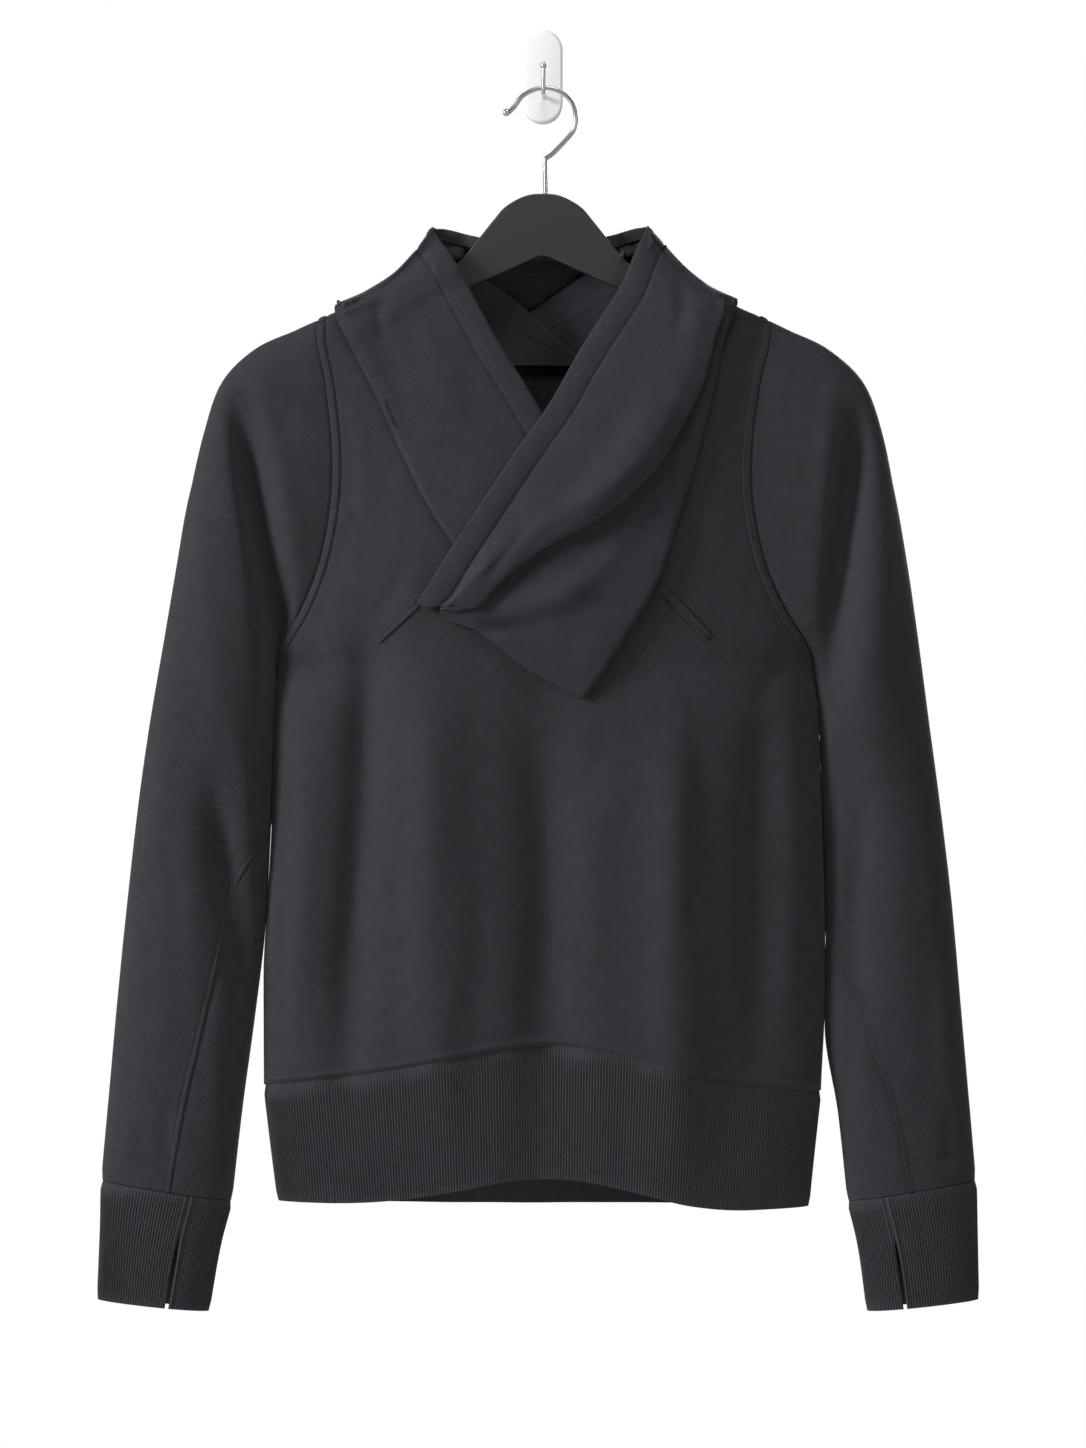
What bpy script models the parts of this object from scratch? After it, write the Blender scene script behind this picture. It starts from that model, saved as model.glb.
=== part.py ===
# Hanging sweatshirt with a wide cross-over collar, on a hanger and a wall hook.
# X runs to the right as the front is seen, Z is up and the front faces -Y.
# The origin is the middle of the wall plate's back face. Tables are in millimetres.

import functools
import math

import bmesh
import bpy
import numpy as np

MM = 0.001

# Driving dimensions, in millimetres
CLOTH = 2.0
SEAM_GAP = 0.3
HANG_Y = -36.0
SIDE_Y = -40.0
RIB_PITCH = 4.0
RIB_HEIGHT = 0.7
NECK_HALF_WIDTH = 81.5
SHOULDER_SLOPE = 0.445
SHOULDER_TIP_Z = -179.3
SHOULDER_TIP_X = 162.0
ARMPIT_Z = -427.0
FRONT_NECK_Z = -311.0
BACK_NECK_Z = -211.7
FOLD = 5.6
ARM_DROP = 4.8
ARM_HALF_SPAN = 202.0
HANGER_THICK = 9.0
ARM_TIP_RADIUS = 11.0
PIN_X = 0.5
PIN_TOP_Z = 3.4
WELT_LIFT = 0.4
NECK_LAYER = 2.5
RIDGE_LIFT = 1.1
HOOK_WIRE = 3.4
PIN_WIRE = 3.1
PLATE_WIDTH = 29.0
PLATE_HEIGHT = 68.0
PLATE_THICK = 9.0

# Grid sizes of the larger walls
FRONT_COLUMNS = 24
BACK_COLUMNS = 24
SIDE_ROWS = 7
SLEEVE_RINGS = 17
LAPEL_UNDER_ROWS = 11
LAPEL_OVER_ROWS = 14
COLLAR_BACK_ROWS = 12
BOW_ROW = 5.0

# Places within a grid cell where its clearance from the cloth below is read
CLEAR_SPOTS = tuple((u, v) for u in (0.0, 0.33, 0.67, 1.0) for v in (0.0, 0.33, 0.67, 1.0))

CHARCOAL = (0.036, 0.031, 0.040)


def table(columns, *rows):
    """Name the columns of a short table."""
    return {name: np.array([row[i] for row in rows], float) for i, name in enumerate(columns.split())}


# Torso side edges from the hem seam up to the armpit
SIDES = table(
    "z left right",
    (-737.0, -202.0, 201.2),
    (-656.0, -202.3, 204.5),
    (-599.0, -199.4, 203.8),
    (-549.0, -196.6, 202.3),
    (-469.0, -194.4, 199.4),
    (ARMPIT_Z, -193.0, 195.4),
)

# Depth of the front and of the back down the middle of the body
MIDDLE = table(
    "z front back",
    (-822.0, -77.0, -12.0),
    (-705.0, -80.0, -10.0),
    (-600.0, -83.0, -9.0),
    (-480.0, -85.0, -8.5),
    (-380.0, -83.0, -8.5),
    (-300.0, -76.0, -8.5),
    (-240.0, -67.0, -9.0),
    (-185.0, -56.0, -10.0),
    (-145.0, -45.0, -12.0),
    (-112.0, -44.0, -14.0),
)

# Lower edge of the front, the seam of the hem band and its bottom, across the body
HEM = table(
    "x seam_front bottom_front seam_back bottom_back",
    (-202.0, -733.0, -817.0, -733.0, -817.0),
    (-163.0, -728.6, -817.0, -735.0, -818.5),
    (-108.0, -720.7, -814.2, -738.0, -820.0),
    (-64.0, -712.1, -807.4, -740.0, -820.8),
    (-25.0, -705.6, -800.4, -741.0, -820.8),
    (8.0, -703.4, -799.0, -741.0, -820.8),
    (30.0, -705.6, -800.6, -741.0, -820.8),
    (71.0, -713.5, -809.0, -740.0, -820.8),
    (112.0, -725.0, -818.6, -739.0, -821.0),
    (154.0, -733.0, -822.2, -738.0, -821.0),
    (201.2, -737.3, -820.8, -737.3, -820.8),
)

# Inward bow of the armhole seam along its chord, as a share of its depth
ARMHOLE = table(
    "along bow",
    (0.00, 0.00),
    (0.02, -0.02),
    (0.19, 0.44),
    (0.38, 0.86),
    (0.53, 1.00),
    (0.62, 0.98),
    (0.73, 0.85),
    (0.86, 0.49),
    (0.93, 0.20),
    (1.00, 0.00),
)
ARMHOLE_BOW = {"left": 26.0, "right": 29.5}
ARMPIT_NORMAL = {"left": (0.0, 0.0, -1.0), "right": (0.18, 0.0, -0.98)}

# Sleeve sections from the armhole to the cuff: outer edge, inner edge, bow, depths
SLEEVE = table(
    "outer_z outer_left outer_right inner_z inner_left inner_right bow front back",
    (-179.3, -162.0, 162.0, -427.0, -193.0, 195.4, 1.00, 25.0, 24.0),
    (-187.5, -180.0, 178.5, -431.0, -194.0, 197.2, 0.78, 27.0, 24.5),
    (-201.0, -209.0, 206.8, -434.0, -194.1, 197.0, 0.57, 28.0, 25.0),
    (-224.6, -232.6, 231.8, -440.0, -194.4, 197.6, 0.40, 29.0, 25.0),
    (-260.6, -245.5, 245.5, -448.0, -194.8, 198.4, 0.27, 30.0, 25.0),
    (-311.0, -257.0, 255.6, -458.0, -195.2, 199.2, 0.17, 30.5, 25.0),
    (-362.0, -266.3, 264.5, -474.0, -195.7, 200.6, 0.09, 30.0, 25.0),
    (-415.0, -275.3, 272.2, -498.0, -196.3, 201.5, 0.04, 29.0, 25.0),
    (-469.4, -284.4, 279.4, -532.0, -197.3, 202.9, 0.00, 28.0, 24.0),
    (-530.0, -293.0, 287.4, -573.0, -199.3, 204.4, 0.00, 27.0, 23.5),
    (-600.0, -301.0, 295.6, -626.0, -202.3, 205.0, 0.00, 26.0, 23.0),
    (-670.0, -308.0, 302.0, -690.0, -209.2, 206.6, 0.00, 25.0, 22.0),
    (-740.0, -314.2, 308.4, -752.0, -217.6, 213.2, 0.00, 23.0, 20.0),
    (-802.0, -319.9, 313.8, -816.9, -225.0, 220.3, 0.00, 21.0, 18.0),
)

# Seams of the under-sleeve, as turns round the sleeve from its outer edge
UNDER_SEAM = table(
    "inner_z front_left front_right back",
    (-427.0, 195.0, 195.0, 240.0),
    (-500.0, 190.0, 194.0, 240.0),
    (-530.0, 187.0, 193.0, 243.0),
    (-552.0, 167.0, 192.0, 244.0),
    (-571.0, 143.0, 190.0, 245.0),
    (-590.0, 127.0, 188.0, 246.0),
    (-620.0, 117.0, 180.0, 248.0),
    (-646.0, 114.0, 152.0, 249.0),
    (-675.0, 110.0, 121.0, 251.0),
    (-710.0, 105.0, 112.0, 253.0),
    (-752.0, 99.0, 102.0, 255.0),
    (-816.9, 93.5, 93.5, 257.0),
)
UNDER_COLUMNS = 6
TOP_TURN = 15.0

# Cuffs below the sleeve: lower rim, and the vent's place round the cuff, in turns
CUFF = table(
    "outer_z outer_left outer_right inner_z inner_left inner_right front back vent_left vent_right",
    (-802.6, -319.9, 313.8, -817.5, -225.0, 220.3, 21.0, 18.0, 112.0, 117.0),
    (-840.0, -320.6, 314.4, -852.0, -234.0, 228.5, 19.5, 17.0, 108.5, 113.5),
    (-888.6, -322.6, 315.4, -897.0, -241.9, 234.7, 18.5, 16.0, 105.5, 110.0),
)
VENT_HALF_WIDTH = 1.1

# Soft vertical folds of the body: a ridge is positive, a trough negative
BODY_FOLDS = table(
    "top_x top_z bottom_x bottom_z height width",
    (-140.0, -400.0, -161.0, -690.0, -4.5, 17.0),
    (-100.0, -430.0, -112.0, -720.0, 4.0, 22.0),
    (-32.0, -430.0, -18.0, -790.0, -4.5, 24.0),
    (76.0, -480.0, 66.0, -770.0, 4.0, 24.0),
    (142.0, -450.0, 132.0, -690.0, -3.5, 20.0),
)

# Folds of the sleeves, mirrored for the right one: the armpit trough and the elbow
SLEEVE_FOLDS = table(
    "top_x top_z bottom_x bottom_z height width",
    (-229.0, -245.0, -201.0, -420.0, -13.0, 12.0),
    (-204.0, -270.0, -189.0, -375.0, 2.5, 12.0),
    (-246.0, -515.0, -222.0, -665.0, -5.0, 12.0),
    (-282.0, -420.0, -292.0, -720.0, 2.0, 16.0),
)

# Collar sections from the neck ridge down each front. The inner edge is the free one.
# roll is the share of the width where the upper layer turns, drop its step down.
LAPEL_UNDER = table(
    "inner_x inner_z outer_x outer_z sag lift edge crest roll drop out",
    (-80.6, -112.3, -151.2, -168.0, 11.0, 0.0, 2.0, 2.0, 0.90, 0.0, 2.0),
    (-78.0, -117.5, -150.0, -176.5, 9.0, 1.0, 7.0, 7.5, 0.90, 0.0, 6.4),
    (-71.0, -127.0, -147.0, -184.0, 6.0, 1.0, 9.0, 9.0, 0.90, 0.0, 6.4),
    (-62.6, -139.7, -142.6, -192.2, 3.0, 1.0, 9.0, 9.0, 0.90, 0.0, 6.4),
    (-50.0, -164.0, -132.0, -213.0, 0.0, 1.0, 8.0, 8.5, 0.90, 0.0, 6.4),
    (-31.0, -199.4, -118.0, -241.0, 0.0, 1.0, 7.0, 8.0, 0.90, 0.0, 6.4),
    (-12.0, -229.0, -103.0, -275.0, 0.0, 1.0, 5.5, 7.0, 0.90, 0.0, 6.4),
    (4.0, -256.0, -84.0, -313.0, 0.0, 1.0, 5.0, 6.5, 0.90, 0.0, 6.4),
    (22.0, -283.0, -62.0, -347.0, 0.0, 1.0, 5.0, 6.5, 0.90, 0.0, 6.4),
    (36.0, -306.0, -42.0, -374.0, 0.0, 1.0, 5.0, 6.5, 0.90, 0.0, 6.4),
)
LAPEL_OVER = table(
    "inner_x inner_z outer_x outer_z sag lift edge crest roll drop out",
    (75.6, -111.6, 141.4, -164.2, 6.0, 0.0, 2.0, 2.0, 0.88, 0.0, 2.0),
    (73.0, -118.0, 139.5, -172.5, 5.0, 1.0, 7.0, 9.0, 0.90, 0.5, 6.6),
    (66.0, -133.0, 135.5, -182.0, 4.0, 1.0, 9.0, 12.0, 0.90, 2.0, 7.5),
    (56.9, -154.8, 130.0, -197.0, 2.0, 1.0, 10.0, 14.0, 0.91, 4.0, 8.0),
    (40.0, -182.0, 125.0, -221.0, 0.0, 1.0, 10.0, 14.5, 0.91, 6.0, 8.0),
    (23.0, -209.5, 119.0, -248.0, 0.0, 1.0, 10.5, 15.0, 0.87, 7.0, 7.5),
    (4.0, -243.0, 109.0, -287.0, 0.0, 1.0, 11.0, 15.0, 0.79, 7.5, 7.5),
    (-19.4, -276.5, 97.0, -325.0, 0.0, 1.0, 11.0, 15.5, 0.66, 6.5, 8.0),
    (-44.0, -314.0, 83.0, -369.0, 0.0, 1.0, 11.0, 16.0, 0.50, 4.0, 9.0),
    (-68.0, -350.0, 60.0, -408.0, 0.0, 1.0, 8.5, 14.0, 0.36, 5.0, 9.0),
    (-90.7, -386.6, 30.2, -455.0, -7.0, 1.0, 4.0, 9.0, 0.23, 5.0, 6.6),
)
BAND_WIDTH = 18.0

# Back of the collar, from the left ridge round to the right one: upper and lower edge
COLLAR_BACK = table(
    "top_x top_z low_x low_z sag lift",
    (-80.6, -112.3, -151.2, -168.0, 11.0, 0.0),
    (-77.0, -115.0, -144.0, -180.0, 8.0, 1.0),
    (-70.0, -119.0, -129.0, -198.0, 5.0, 1.0),
    (-50.0, -126.0, -92.0, -228.0, 2.0, 1.0),
    (-26.0, -133.0, -48.0, -250.0, 0.0, 1.0),
    (0.0, -137.0, 0.0, -258.0, 0.0, 1.0),
    (26.0, -133.0, 48.0, -250.0, 0.0, 1.0),
    (50.0, -126.0, 90.0, -228.0, 1.0, 1.0),
    (68.0, -119.0, 122.0, -197.0, 3.0, 1.0),
    (73.0, -114.5, 136.0, -178.0, 5.0, 1.0),
    (75.6, -111.6, 141.4, -164.2, 6.0, 0.0),
)

# Crossing bands inside the back of the neck: free edge above, sewn edge below
NECK_BAND_RIGHT = table(
    "top_x top_z low_x low_z layer",
    (-46.0, -146.0, -50.0, -195.0, 1.2),
    (-31.7, -155.5, -45.0, -209.0, 1.2),
    (-10.0, -172.8, -27.0, -211.2, 2.0),
    (6.5, -187.2, -8.0, -211.2, 2.1),
    (28.0, -206.2, 24.0, -211.4, 2.1),
)
NECK_BAND_LEFT = table(
    "top_x top_z low_x low_z layer",
    (-14.0, -175.0, -12.0, -211.2, 1.0),
    (-10.1, -172.8, 8.0, -211.2, 1.0),
    (7.9, -160.6, 27.0, -211.2, 1.0),
    (27.4, -147.6, 42.0, -209.0, 1.4),
    (44.0, -137.0, 50.0, -195.0, 1.3),
)

# Slanted welts on the chest: centre line from its upper to its lower end
WELTS = table(
    "top_x top_z low_x low_z",
    (-90.0, -385.5, -119.5, -412.6),
    (82.5, -372.0, 119.0, -410.5),
)
WELT_WIDTH = 6.2
WELT_THICK = 1.2

# Hanger: half outline from the middle, above and below
HANGER_TOP = table(
    "x z",
    (0.0, -88.4),
    (9.0, -89.0),
    (18.0, -92.2),
    (28.0, -98.5),
    (35.0, -106.5),
    (45.0, -119.0),
    (53.0, -129.0),
    (61.0, -137.8),
    (68.0, -142.4),
)
HANGER_APEX_Z = -132.5

# Hook wire from the hanger up and round, in the hanger's plane
HOOK = table(
    "x z",
    (2.0, -88.0),
    (1.6, -66.0),
    (3.0, -62.0),
    (7.2, -59.0),
    (18.7, -46.8),
    (22.6, -41.0),
    (23.9, -35.0),
    (22.4, -25.0),
    (17.0, -17.5),
    (9.0, -12.7),
    (0.6, -11.4),
    (-8.0, -13.4),
    (-15.5, -18.0),
    (-20.5, -24.8),
    (-24.0, -28.4),
    (-25.2, -28.9),
)


def spline(xs, ys, at):
    """Cubic Hermite curve through a table's rows, with flat clamping at its ends."""
    order = np.argsort(xs)
    xs, ys = xs[order], ys[order]
    at = np.clip(at, xs[0], xs[-1])
    chord = np.diff(ys) / np.diff(xs)
    slope = np.concatenate([chord[:1], 0.5 * (chord[:-1] + chord[1:]), chord[-1:]])
    turn = np.where(chord[:-1] * chord[1:] <= 0.0)[0] + 1
    slope[turn] = 0.0
    i = np.clip(np.searchsorted(xs, at) - 1, 0, len(xs) - 2)
    step = xs[i + 1] - xs[i]
    t = (at - xs[i]) / step
    return (
        ys[i] * (1 + 2 * t) * (1 - t) ** 2
        + ys[i + 1] * t * t * (3 - 2 * t)
        + step * (slope[i] * t * (1 - t) ** 2 - slope[i + 1] * t * t * (1 - t))
    )


def by_row(rows, column, at):
    """Read a column of a table at a fractional row number."""
    return spline(np.arange(len(rows[column]), dtype=float), rows[column], at)


def smoothstep(low, high, value):
    t = np.clip((value - low) / (high - low), 0.0, 1.0)
    return t * t * (3 - 2 * t)


def folds(rows, x, z, mirror=1.0):
    """Sum of soft ridges and troughs, each along its own line."""
    total = 0.0
    for i in range(len(rows["height"])):
        x0, z0 = mirror * rows["top_x"][i], rows["top_z"][i]
        x1, z1 = mirror * rows["bottom_x"][i], rows["bottom_z"][i]
        length = math.hypot(x1 - x0, z1 - z0)
        along = ((x - x0) * (x1 - x0) + (z - z0) * (z1 - z0)) / length ** 2
        across = ((x - x0) * (z1 - z0) - (z - z0) * (x1 - x0)) / length
        run = smoothstep(-0.12, 0.30, along) * smoothstep(1.22, 0.80, along)
        total += rows["height"][i] * run * math.exp(-((across / rows["width"][i]) ** 2))
    return total


# Material and mesh helpers


def material(name, colour, roughness, metallic=0.0):
    found = bpy.data.materials.get(name)
    if found:
        return found
    made = bpy.data.materials.new(name)
    made.use_nodes = True
    shader = made.node_tree.nodes["Principled BSDF"]
    shader.inputs["Base Color"].default_value = (*colour, 1.0)
    shader.inputs["Roughness"].default_value = roughness
    shader.inputs["Metallic"].default_value = metallic
    made.diffuse_color = (*colour, 1.0)
    return made


def fleece():
    return material("charcoal_fleece", CHARCOAL, 0.92)


def rib_knit():
    return material("charcoal_rib", (0.031, 0.027, 0.034), 0.95)


def add_object(name, bm, finish, smooth=True):
    """Turn a bmesh in millimetres into a named object in metres."""
    bmesh.ops.scale(bm, vec=(MM, MM, MM), verts=bm.verts)
    mesh = bpy.data.meshes.new(name)
    bm.to_mesh(mesh)
    bm.free()
    mesh.materials.append(finish)
    if smooth:
        mesh.shade_smooth()
        mesh.set_sharp_from_angle(angle=math.radians(50))
    made = bpy.data.objects.new(name, mesh)
    bpy.context.scene.collection.objects.link(made)
    return made


def unit(vector):
    return vector / max(np.linalg.norm(vector), 1e-12)


def grid_normals(points, used):
    """Outward normals of a grid whose columns run right and rows run up, seen from outside."""
    rows, columns, _ = points.shape
    normals = np.zeros_like(points)
    for r in range(rows - 1):
        for c in range(columns - 1):
            if not used[r, c]:
                continue
            a, b = points[r, c], points[r, c + 1]
            d, e = points[r + 1, c], points[r + 1, c + 1]
            n = np.cross(e - a, d - b)
            for rr, cc in ((r, c), (r, c + 1), (r + 1, c), (r + 1, c + 1)):
                normals[rr, cc] += n
    return normals


def all_cells(points):
    return np.ones((points.shape[0] - 1, points.shape[1] - 1), bool)


class Panel:
    """A cut piece of cloth as a grid of points on its outer face."""

    def __init__(self, name, points, used=None, finish=None):
        self.name = name
        self.points = np.array(points, float)
        self.used = all_cells(self.points) if used is None else used
        self.finish = finish or fleece()
        self.normals = grid_normals(self.points, self.used)

    def corners(self):
        """Which points the used cells touch, and which of those lie on an edge."""
        rows, columns, _ = self.points.shape
        count = np.zeros((rows, columns), int)
        for r in range(rows - 1):
            for c in range(columns - 1):
                if self.used[r, c]:
                    count[r:r + 2, c:c + 2] += 1
        return count


def share_normals(panels, fixed):
    """Give points that two panels share one normal, so their walls meet squarely."""
    sums = {}
    for panel in panels:
        for r, c in np.ndindex(panel.points.shape[:2]):
            key = tuple(np.round(panel.points[r, c], 2))
            sums[key] = sums.get(key, 0.0) + panel.normals[r, c]
    for point, normal in fixed:
        sums[tuple(np.round(point, 2))] = np.array(normal, float)
    for panel in panels:
        for r, c in np.ndindex(panel.points.shape[:2]):
            panel.normals[r, c] = unit(sums[tuple(np.round(panel.points[r, c], 2))])


def trimmed(panel, gap):
    """Pull a panel's edge points inwards, by half the gap that a seam keeps."""
    rows, columns, _ = panel.points.shape
    count = panel.corners()
    moved = panel.points.copy()

    def taken(r, c):
        return 0 <= r < rows and 0 <= c < columns and count[r, c] > 0

    for r, c in np.ndindex(rows, columns):
        if count[r, c] in (0, 4):
            continue
        shift = np.zeros(3)
        for dr, dc in ((1, 0), (-1, 0), (0, 1), (0, -1)):
            if not taken(r + dr, c + dc) or taken(r - dr, c - dc):
                continue
            ends = [(r + k * dc, c + k * dr) for k in (-1, 1)]
            ends = [panel.points[k] if taken(*k) else panel.points[r, c] for k in ends]
            along = unit(ends[1] - ends[0])
            inward = panel.points[r + dr, c + dc] - panel.points[r, c]
            shift += unit(inward - np.dot(inward, along) * along)
        moved[r, c] = panel.points[r, c] + 0.5 * gap * shift
    return moved


def wall(panel, thickness=CLOTH, gap=SEAM_GAP):
    """Closed wall between a panel's outer points and the same points moved inwards."""
    outer = trimmed(panel, gap)
    inner = outer - thickness * panel.normals
    bm = bmesh.new()
    count = panel.corners()
    front, back = {}, {}
    for r, c in np.ndindex(outer.shape[:2]):
        if count[r, c]:
            front[r, c] = bm.verts.new(outer[r, c])
            back[r, c] = bm.verts.new(inner[r, c])
    rims = {}
    for r, c in np.argwhere(panel.used):
        loop = [(r, c), (r, c + 1), (r + 1, c + 1), (r + 1, c)]
        bm.faces.new([front[k] for k in loop])
        bm.faces.new([back[k] for k in reversed(loop)])
        for a, b in zip(loop, loop[1:] + loop[:1]):
            if (b, a) in rims:
                del rims[b, a]
            else:
                rims[a, b] = True
    for a, b in rims:
        bm.faces.new([front[b], front[a], back[a], back[b]])
    bm.normal_update()
    return add_object(panel.name, bm, panel.finish)


def ribbed_wall(name, outer, normals, closed, finish):
    """Wall whose outer face carries upright ribs, over a plain inner face."""
    rows, columns, _ = outer.shape
    spans = columns if closed else columns - 1
    bm = bmesh.new()
    inner = outer - CLOTH * normals
    plain = [[bm.verts.new(inner[r, c]) for c in range(columns)] for r in range(rows)]
    middle = rows // 2
    ribbed = [[] for _ in range(rows)]
    starts = []
    for c in range(spans):
        d = (c + 1) % columns
        starts.append(len(ribbed[0]))
        ribs = max(1, round(np.linalg.norm(outer[middle, d] - outer[middle, c]) / RIB_PITCH))
        for k in range(2 * ribs):
            t = k / (2 * ribs)
            for r in range(rows):
                point = (1 - t) * outer[r, c] + t * outer[r, d]
                normal = unit((1 - t) * normals[r, c] + t * normals[r, d])
                ribbed[r].append(bm.verts.new(point + normal * (RIB_HEIGHT if k % 2 else 0.0)))
    starts.append(len(ribbed[0]))
    if not closed:
        for r in range(rows):
            ribbed[r].append(bm.verts.new(outer[r, -1]))
    total = len(ribbed[0])
    count = total if closed else total - 1
    for r in range(rows - 1):
        for k in range(count):
            j = (k + 1) % total
            bm.faces.new([ribbed[r][k], ribbed[r][j], ribbed[r + 1][j], ribbed[r + 1][k]])
        for c in range(spans):
            d = (c + 1) % columns
            bm.faces.new([plain[r][d], plain[r][c], plain[r + 1][c], plain[r + 1][d]])
    for r, flip in ((0, False), (rows - 1, True)):
        for c in range(spans):
            d = (c + 1) % columns
            half = (starts[c] + starts[c + 1]) // 2
            for k in range(starts[c], starts[c + 1]):
                j = (k + 1) % total
                base = plain[r][c] if k < half else plain[r][d]
                fan = [base, ribbed[r][j], ribbed[r][k]]
                bm.faces.new(fan[::-1] if flip else fan)
            fan = [plain[r][c], plain[r][d], ribbed[r][half % total]]
            bm.faces.new(fan[::-1] if flip else fan)
    if not closed:
        for r in range(rows - 1):
            bm.faces.new([plain[r][0], ribbed[r][0], ribbed[r + 1][0], plain[r + 1][0]])
            bm.faces.new([ribbed[r][-1], plain[r][-1], plain[r + 1][-1], ribbed[r + 1][-1]])
    bm.normal_update()
    return add_object(name, bm, finish, smooth=False)


# The body's form


def side_x(z, side):
    return spline(SIDES["z"], SIDES[side], z)


def sleeve_point(side, row, turn):
    """Point on the sleeve: row counts sections, turn is degrees round from the outer edge."""
    ox, oz = by_row(SLEEVE, "outer_" + side, row), by_row(SLEEVE, "outer_z", row)
    ix, iz = by_row(SLEEVE, "inner_" + side, row), by_row(SLEEVE, "inner_z", row)
    bow = by_row(SLEEVE, "bow", row) * ARMHOLE_BOW[side]
    angle = math.radians(turn % 360.0)
    t = 0.5 * (1 - math.cos(angle))
    length = math.hypot(ix - ox, iz - oz)
    inward = 1.0 if side == "left" else -1.0
    nx, nz = -inward * (iz - oz) / length, inward * (ix - ox) / length
    push = bow * spline(ARMHOLE["along"], ARMHOLE["bow"], t) * (1 - 0.7 * min(1.0, row) * t ** 3)
    x = ox + t * (ix - ox) + nx * push
    z = oz + t * (iz - oz) + nz * push
    share = abs(math.sin(angle)) ** (0.8 + 0.35 * t)
    middle = HANG_Y + (SIDE_Y + 1.0 - HANG_Y) * t
    if turn % 360.0 <= 180.0:
        depth = by_row(SLEEVE, "front", row) * share
        lump = folds(SLEEVE_FOLDS, x, z, 1.0 if side == "left" else -1.0)
        return np.array([x, middle - depth - lump * min(1.0, 1.3 * share) * min(1.0, row), z])
    depth = by_row(SLEEVE, "back", row) * share
    lump = folds(SLEEVE_FOLDS, x, z, 1.0 if side == "left" else -1.0)
    return np.array([x, middle + depth + 0.5 * lump * share * min(1.0, row), z])


FRONT_TURNS = np.arange(TOP_TURN, 180.1, 15.0)
UNDER_TURNS = np.linspace(195.0, 240.0, UNDER_COLUMNS + 1)
BACK_TURNS = np.concatenate([[180.0], UNDER_TURNS, np.arange(255.0, 345.1, 15.0)])


def armhole(side, turn):
    """Point on the armhole seam."""
    point = sleeve_point(side, 0.0, turn)
    if turn % 360.0 == 180.0:
        point[1] = SIDE_Y
    return point


def side_seam(side, z, side_z):
    return np.array([side_x(side_z, side), SIDE_Y, z])


@functools.lru_cache(maxsize=None)
def armhole_seam(back):
    """Heights and depths along the armhole seam, on the front or on the back."""
    turns = BACK_TURNS if back else FRONT_TURNS
    seam = np.array([armhole("left", t) for t in turns])
    order = np.argsort(seam[:, 2])
    return seam[order, 2], seam[order, 1]


def armhole_y(z, back):
    return float(np.interp(z, *armhole_seam(back)))


def crown(s, z):
    """Rise of the body across its width: round at the sides, flatter between armholes."""
    power = 0.5 + 0.5 * smoothstep(-470.0, -385.0, z)
    return max(0.0, 1.0 - abs(s) ** 2.4) ** power


def body_y(x, z, s, back=False):
    """Depth of the body's outer face at a place, s running from -1 to 1 across it."""
    middle = spline(MIDDLE["z"], MIDDLE["back" if back else "front"], z)
    edge = SIDE_Y if z < ARMPIT_Z else armhole_y(z, back)
    y = edge + (middle - edge) * crown(s, z)
    if back:
        return y + 0.5 * folds(BODY_FOLDS, x, z, -1.0) * (1 - s * s)
    return y - folds(BODY_FOLDS, x, z) * (1 - abs(s) ** 3)


def ridge(s):
    """Top of the shoulder, where the cloth lies over the hanger."""
    reach = abs(s) * SHOULDER_TIP_X
    x = math.copysign(reach, s)
    if abs(s) > 0.999:
        return sleeve_point("left" if s < 0 else "right", 0.0, 0.0)
    return np.array([x, HANG_Y, SHOULDER_TIP_Z + SHOULDER_SLOPE * (SHOULDER_TIP_X - reach)])


def shoulder(s, turn):
    """Shoulder line parallel to the ridge, in front of it or behind it."""
    tip = armhole("left" if s < 0 else "right", turn)
    top = ridge(s)
    end = ridge(math.copysign(1.0, s))
    return np.array([top[0] + (tip[0] - end[0]), tip[1], top[2] + (tip[2] - end[2])])


def open_front_y(x, z):
    """Depth of the front's form, carried on over the neck opening and the shoulder line."""
    below = SHOULDER_TIP_Z + SHOULDER_SLOPE * (SHOULDER_TIP_X - abs(x)) - z
    share = np.clip(below / 4.2, 0.0, 1.0)
    return (1 - share) * HANG_Y + share * body_y(x, z, min(1.0, abs(x) / SHOULDER_TIP_X))


def open_back_y(x, z):
    below = SHOULDER_TIP_Z + SHOULDER_SLOPE * (SHOULDER_TIP_X - abs(x)) - z
    share = np.clip(below / 4.2, 0.0, 1.0)
    return (1 - share) * HANG_Y + share * body_y(x, z, min(1.0, abs(x) / SHOULDER_TIP_X), True)


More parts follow.
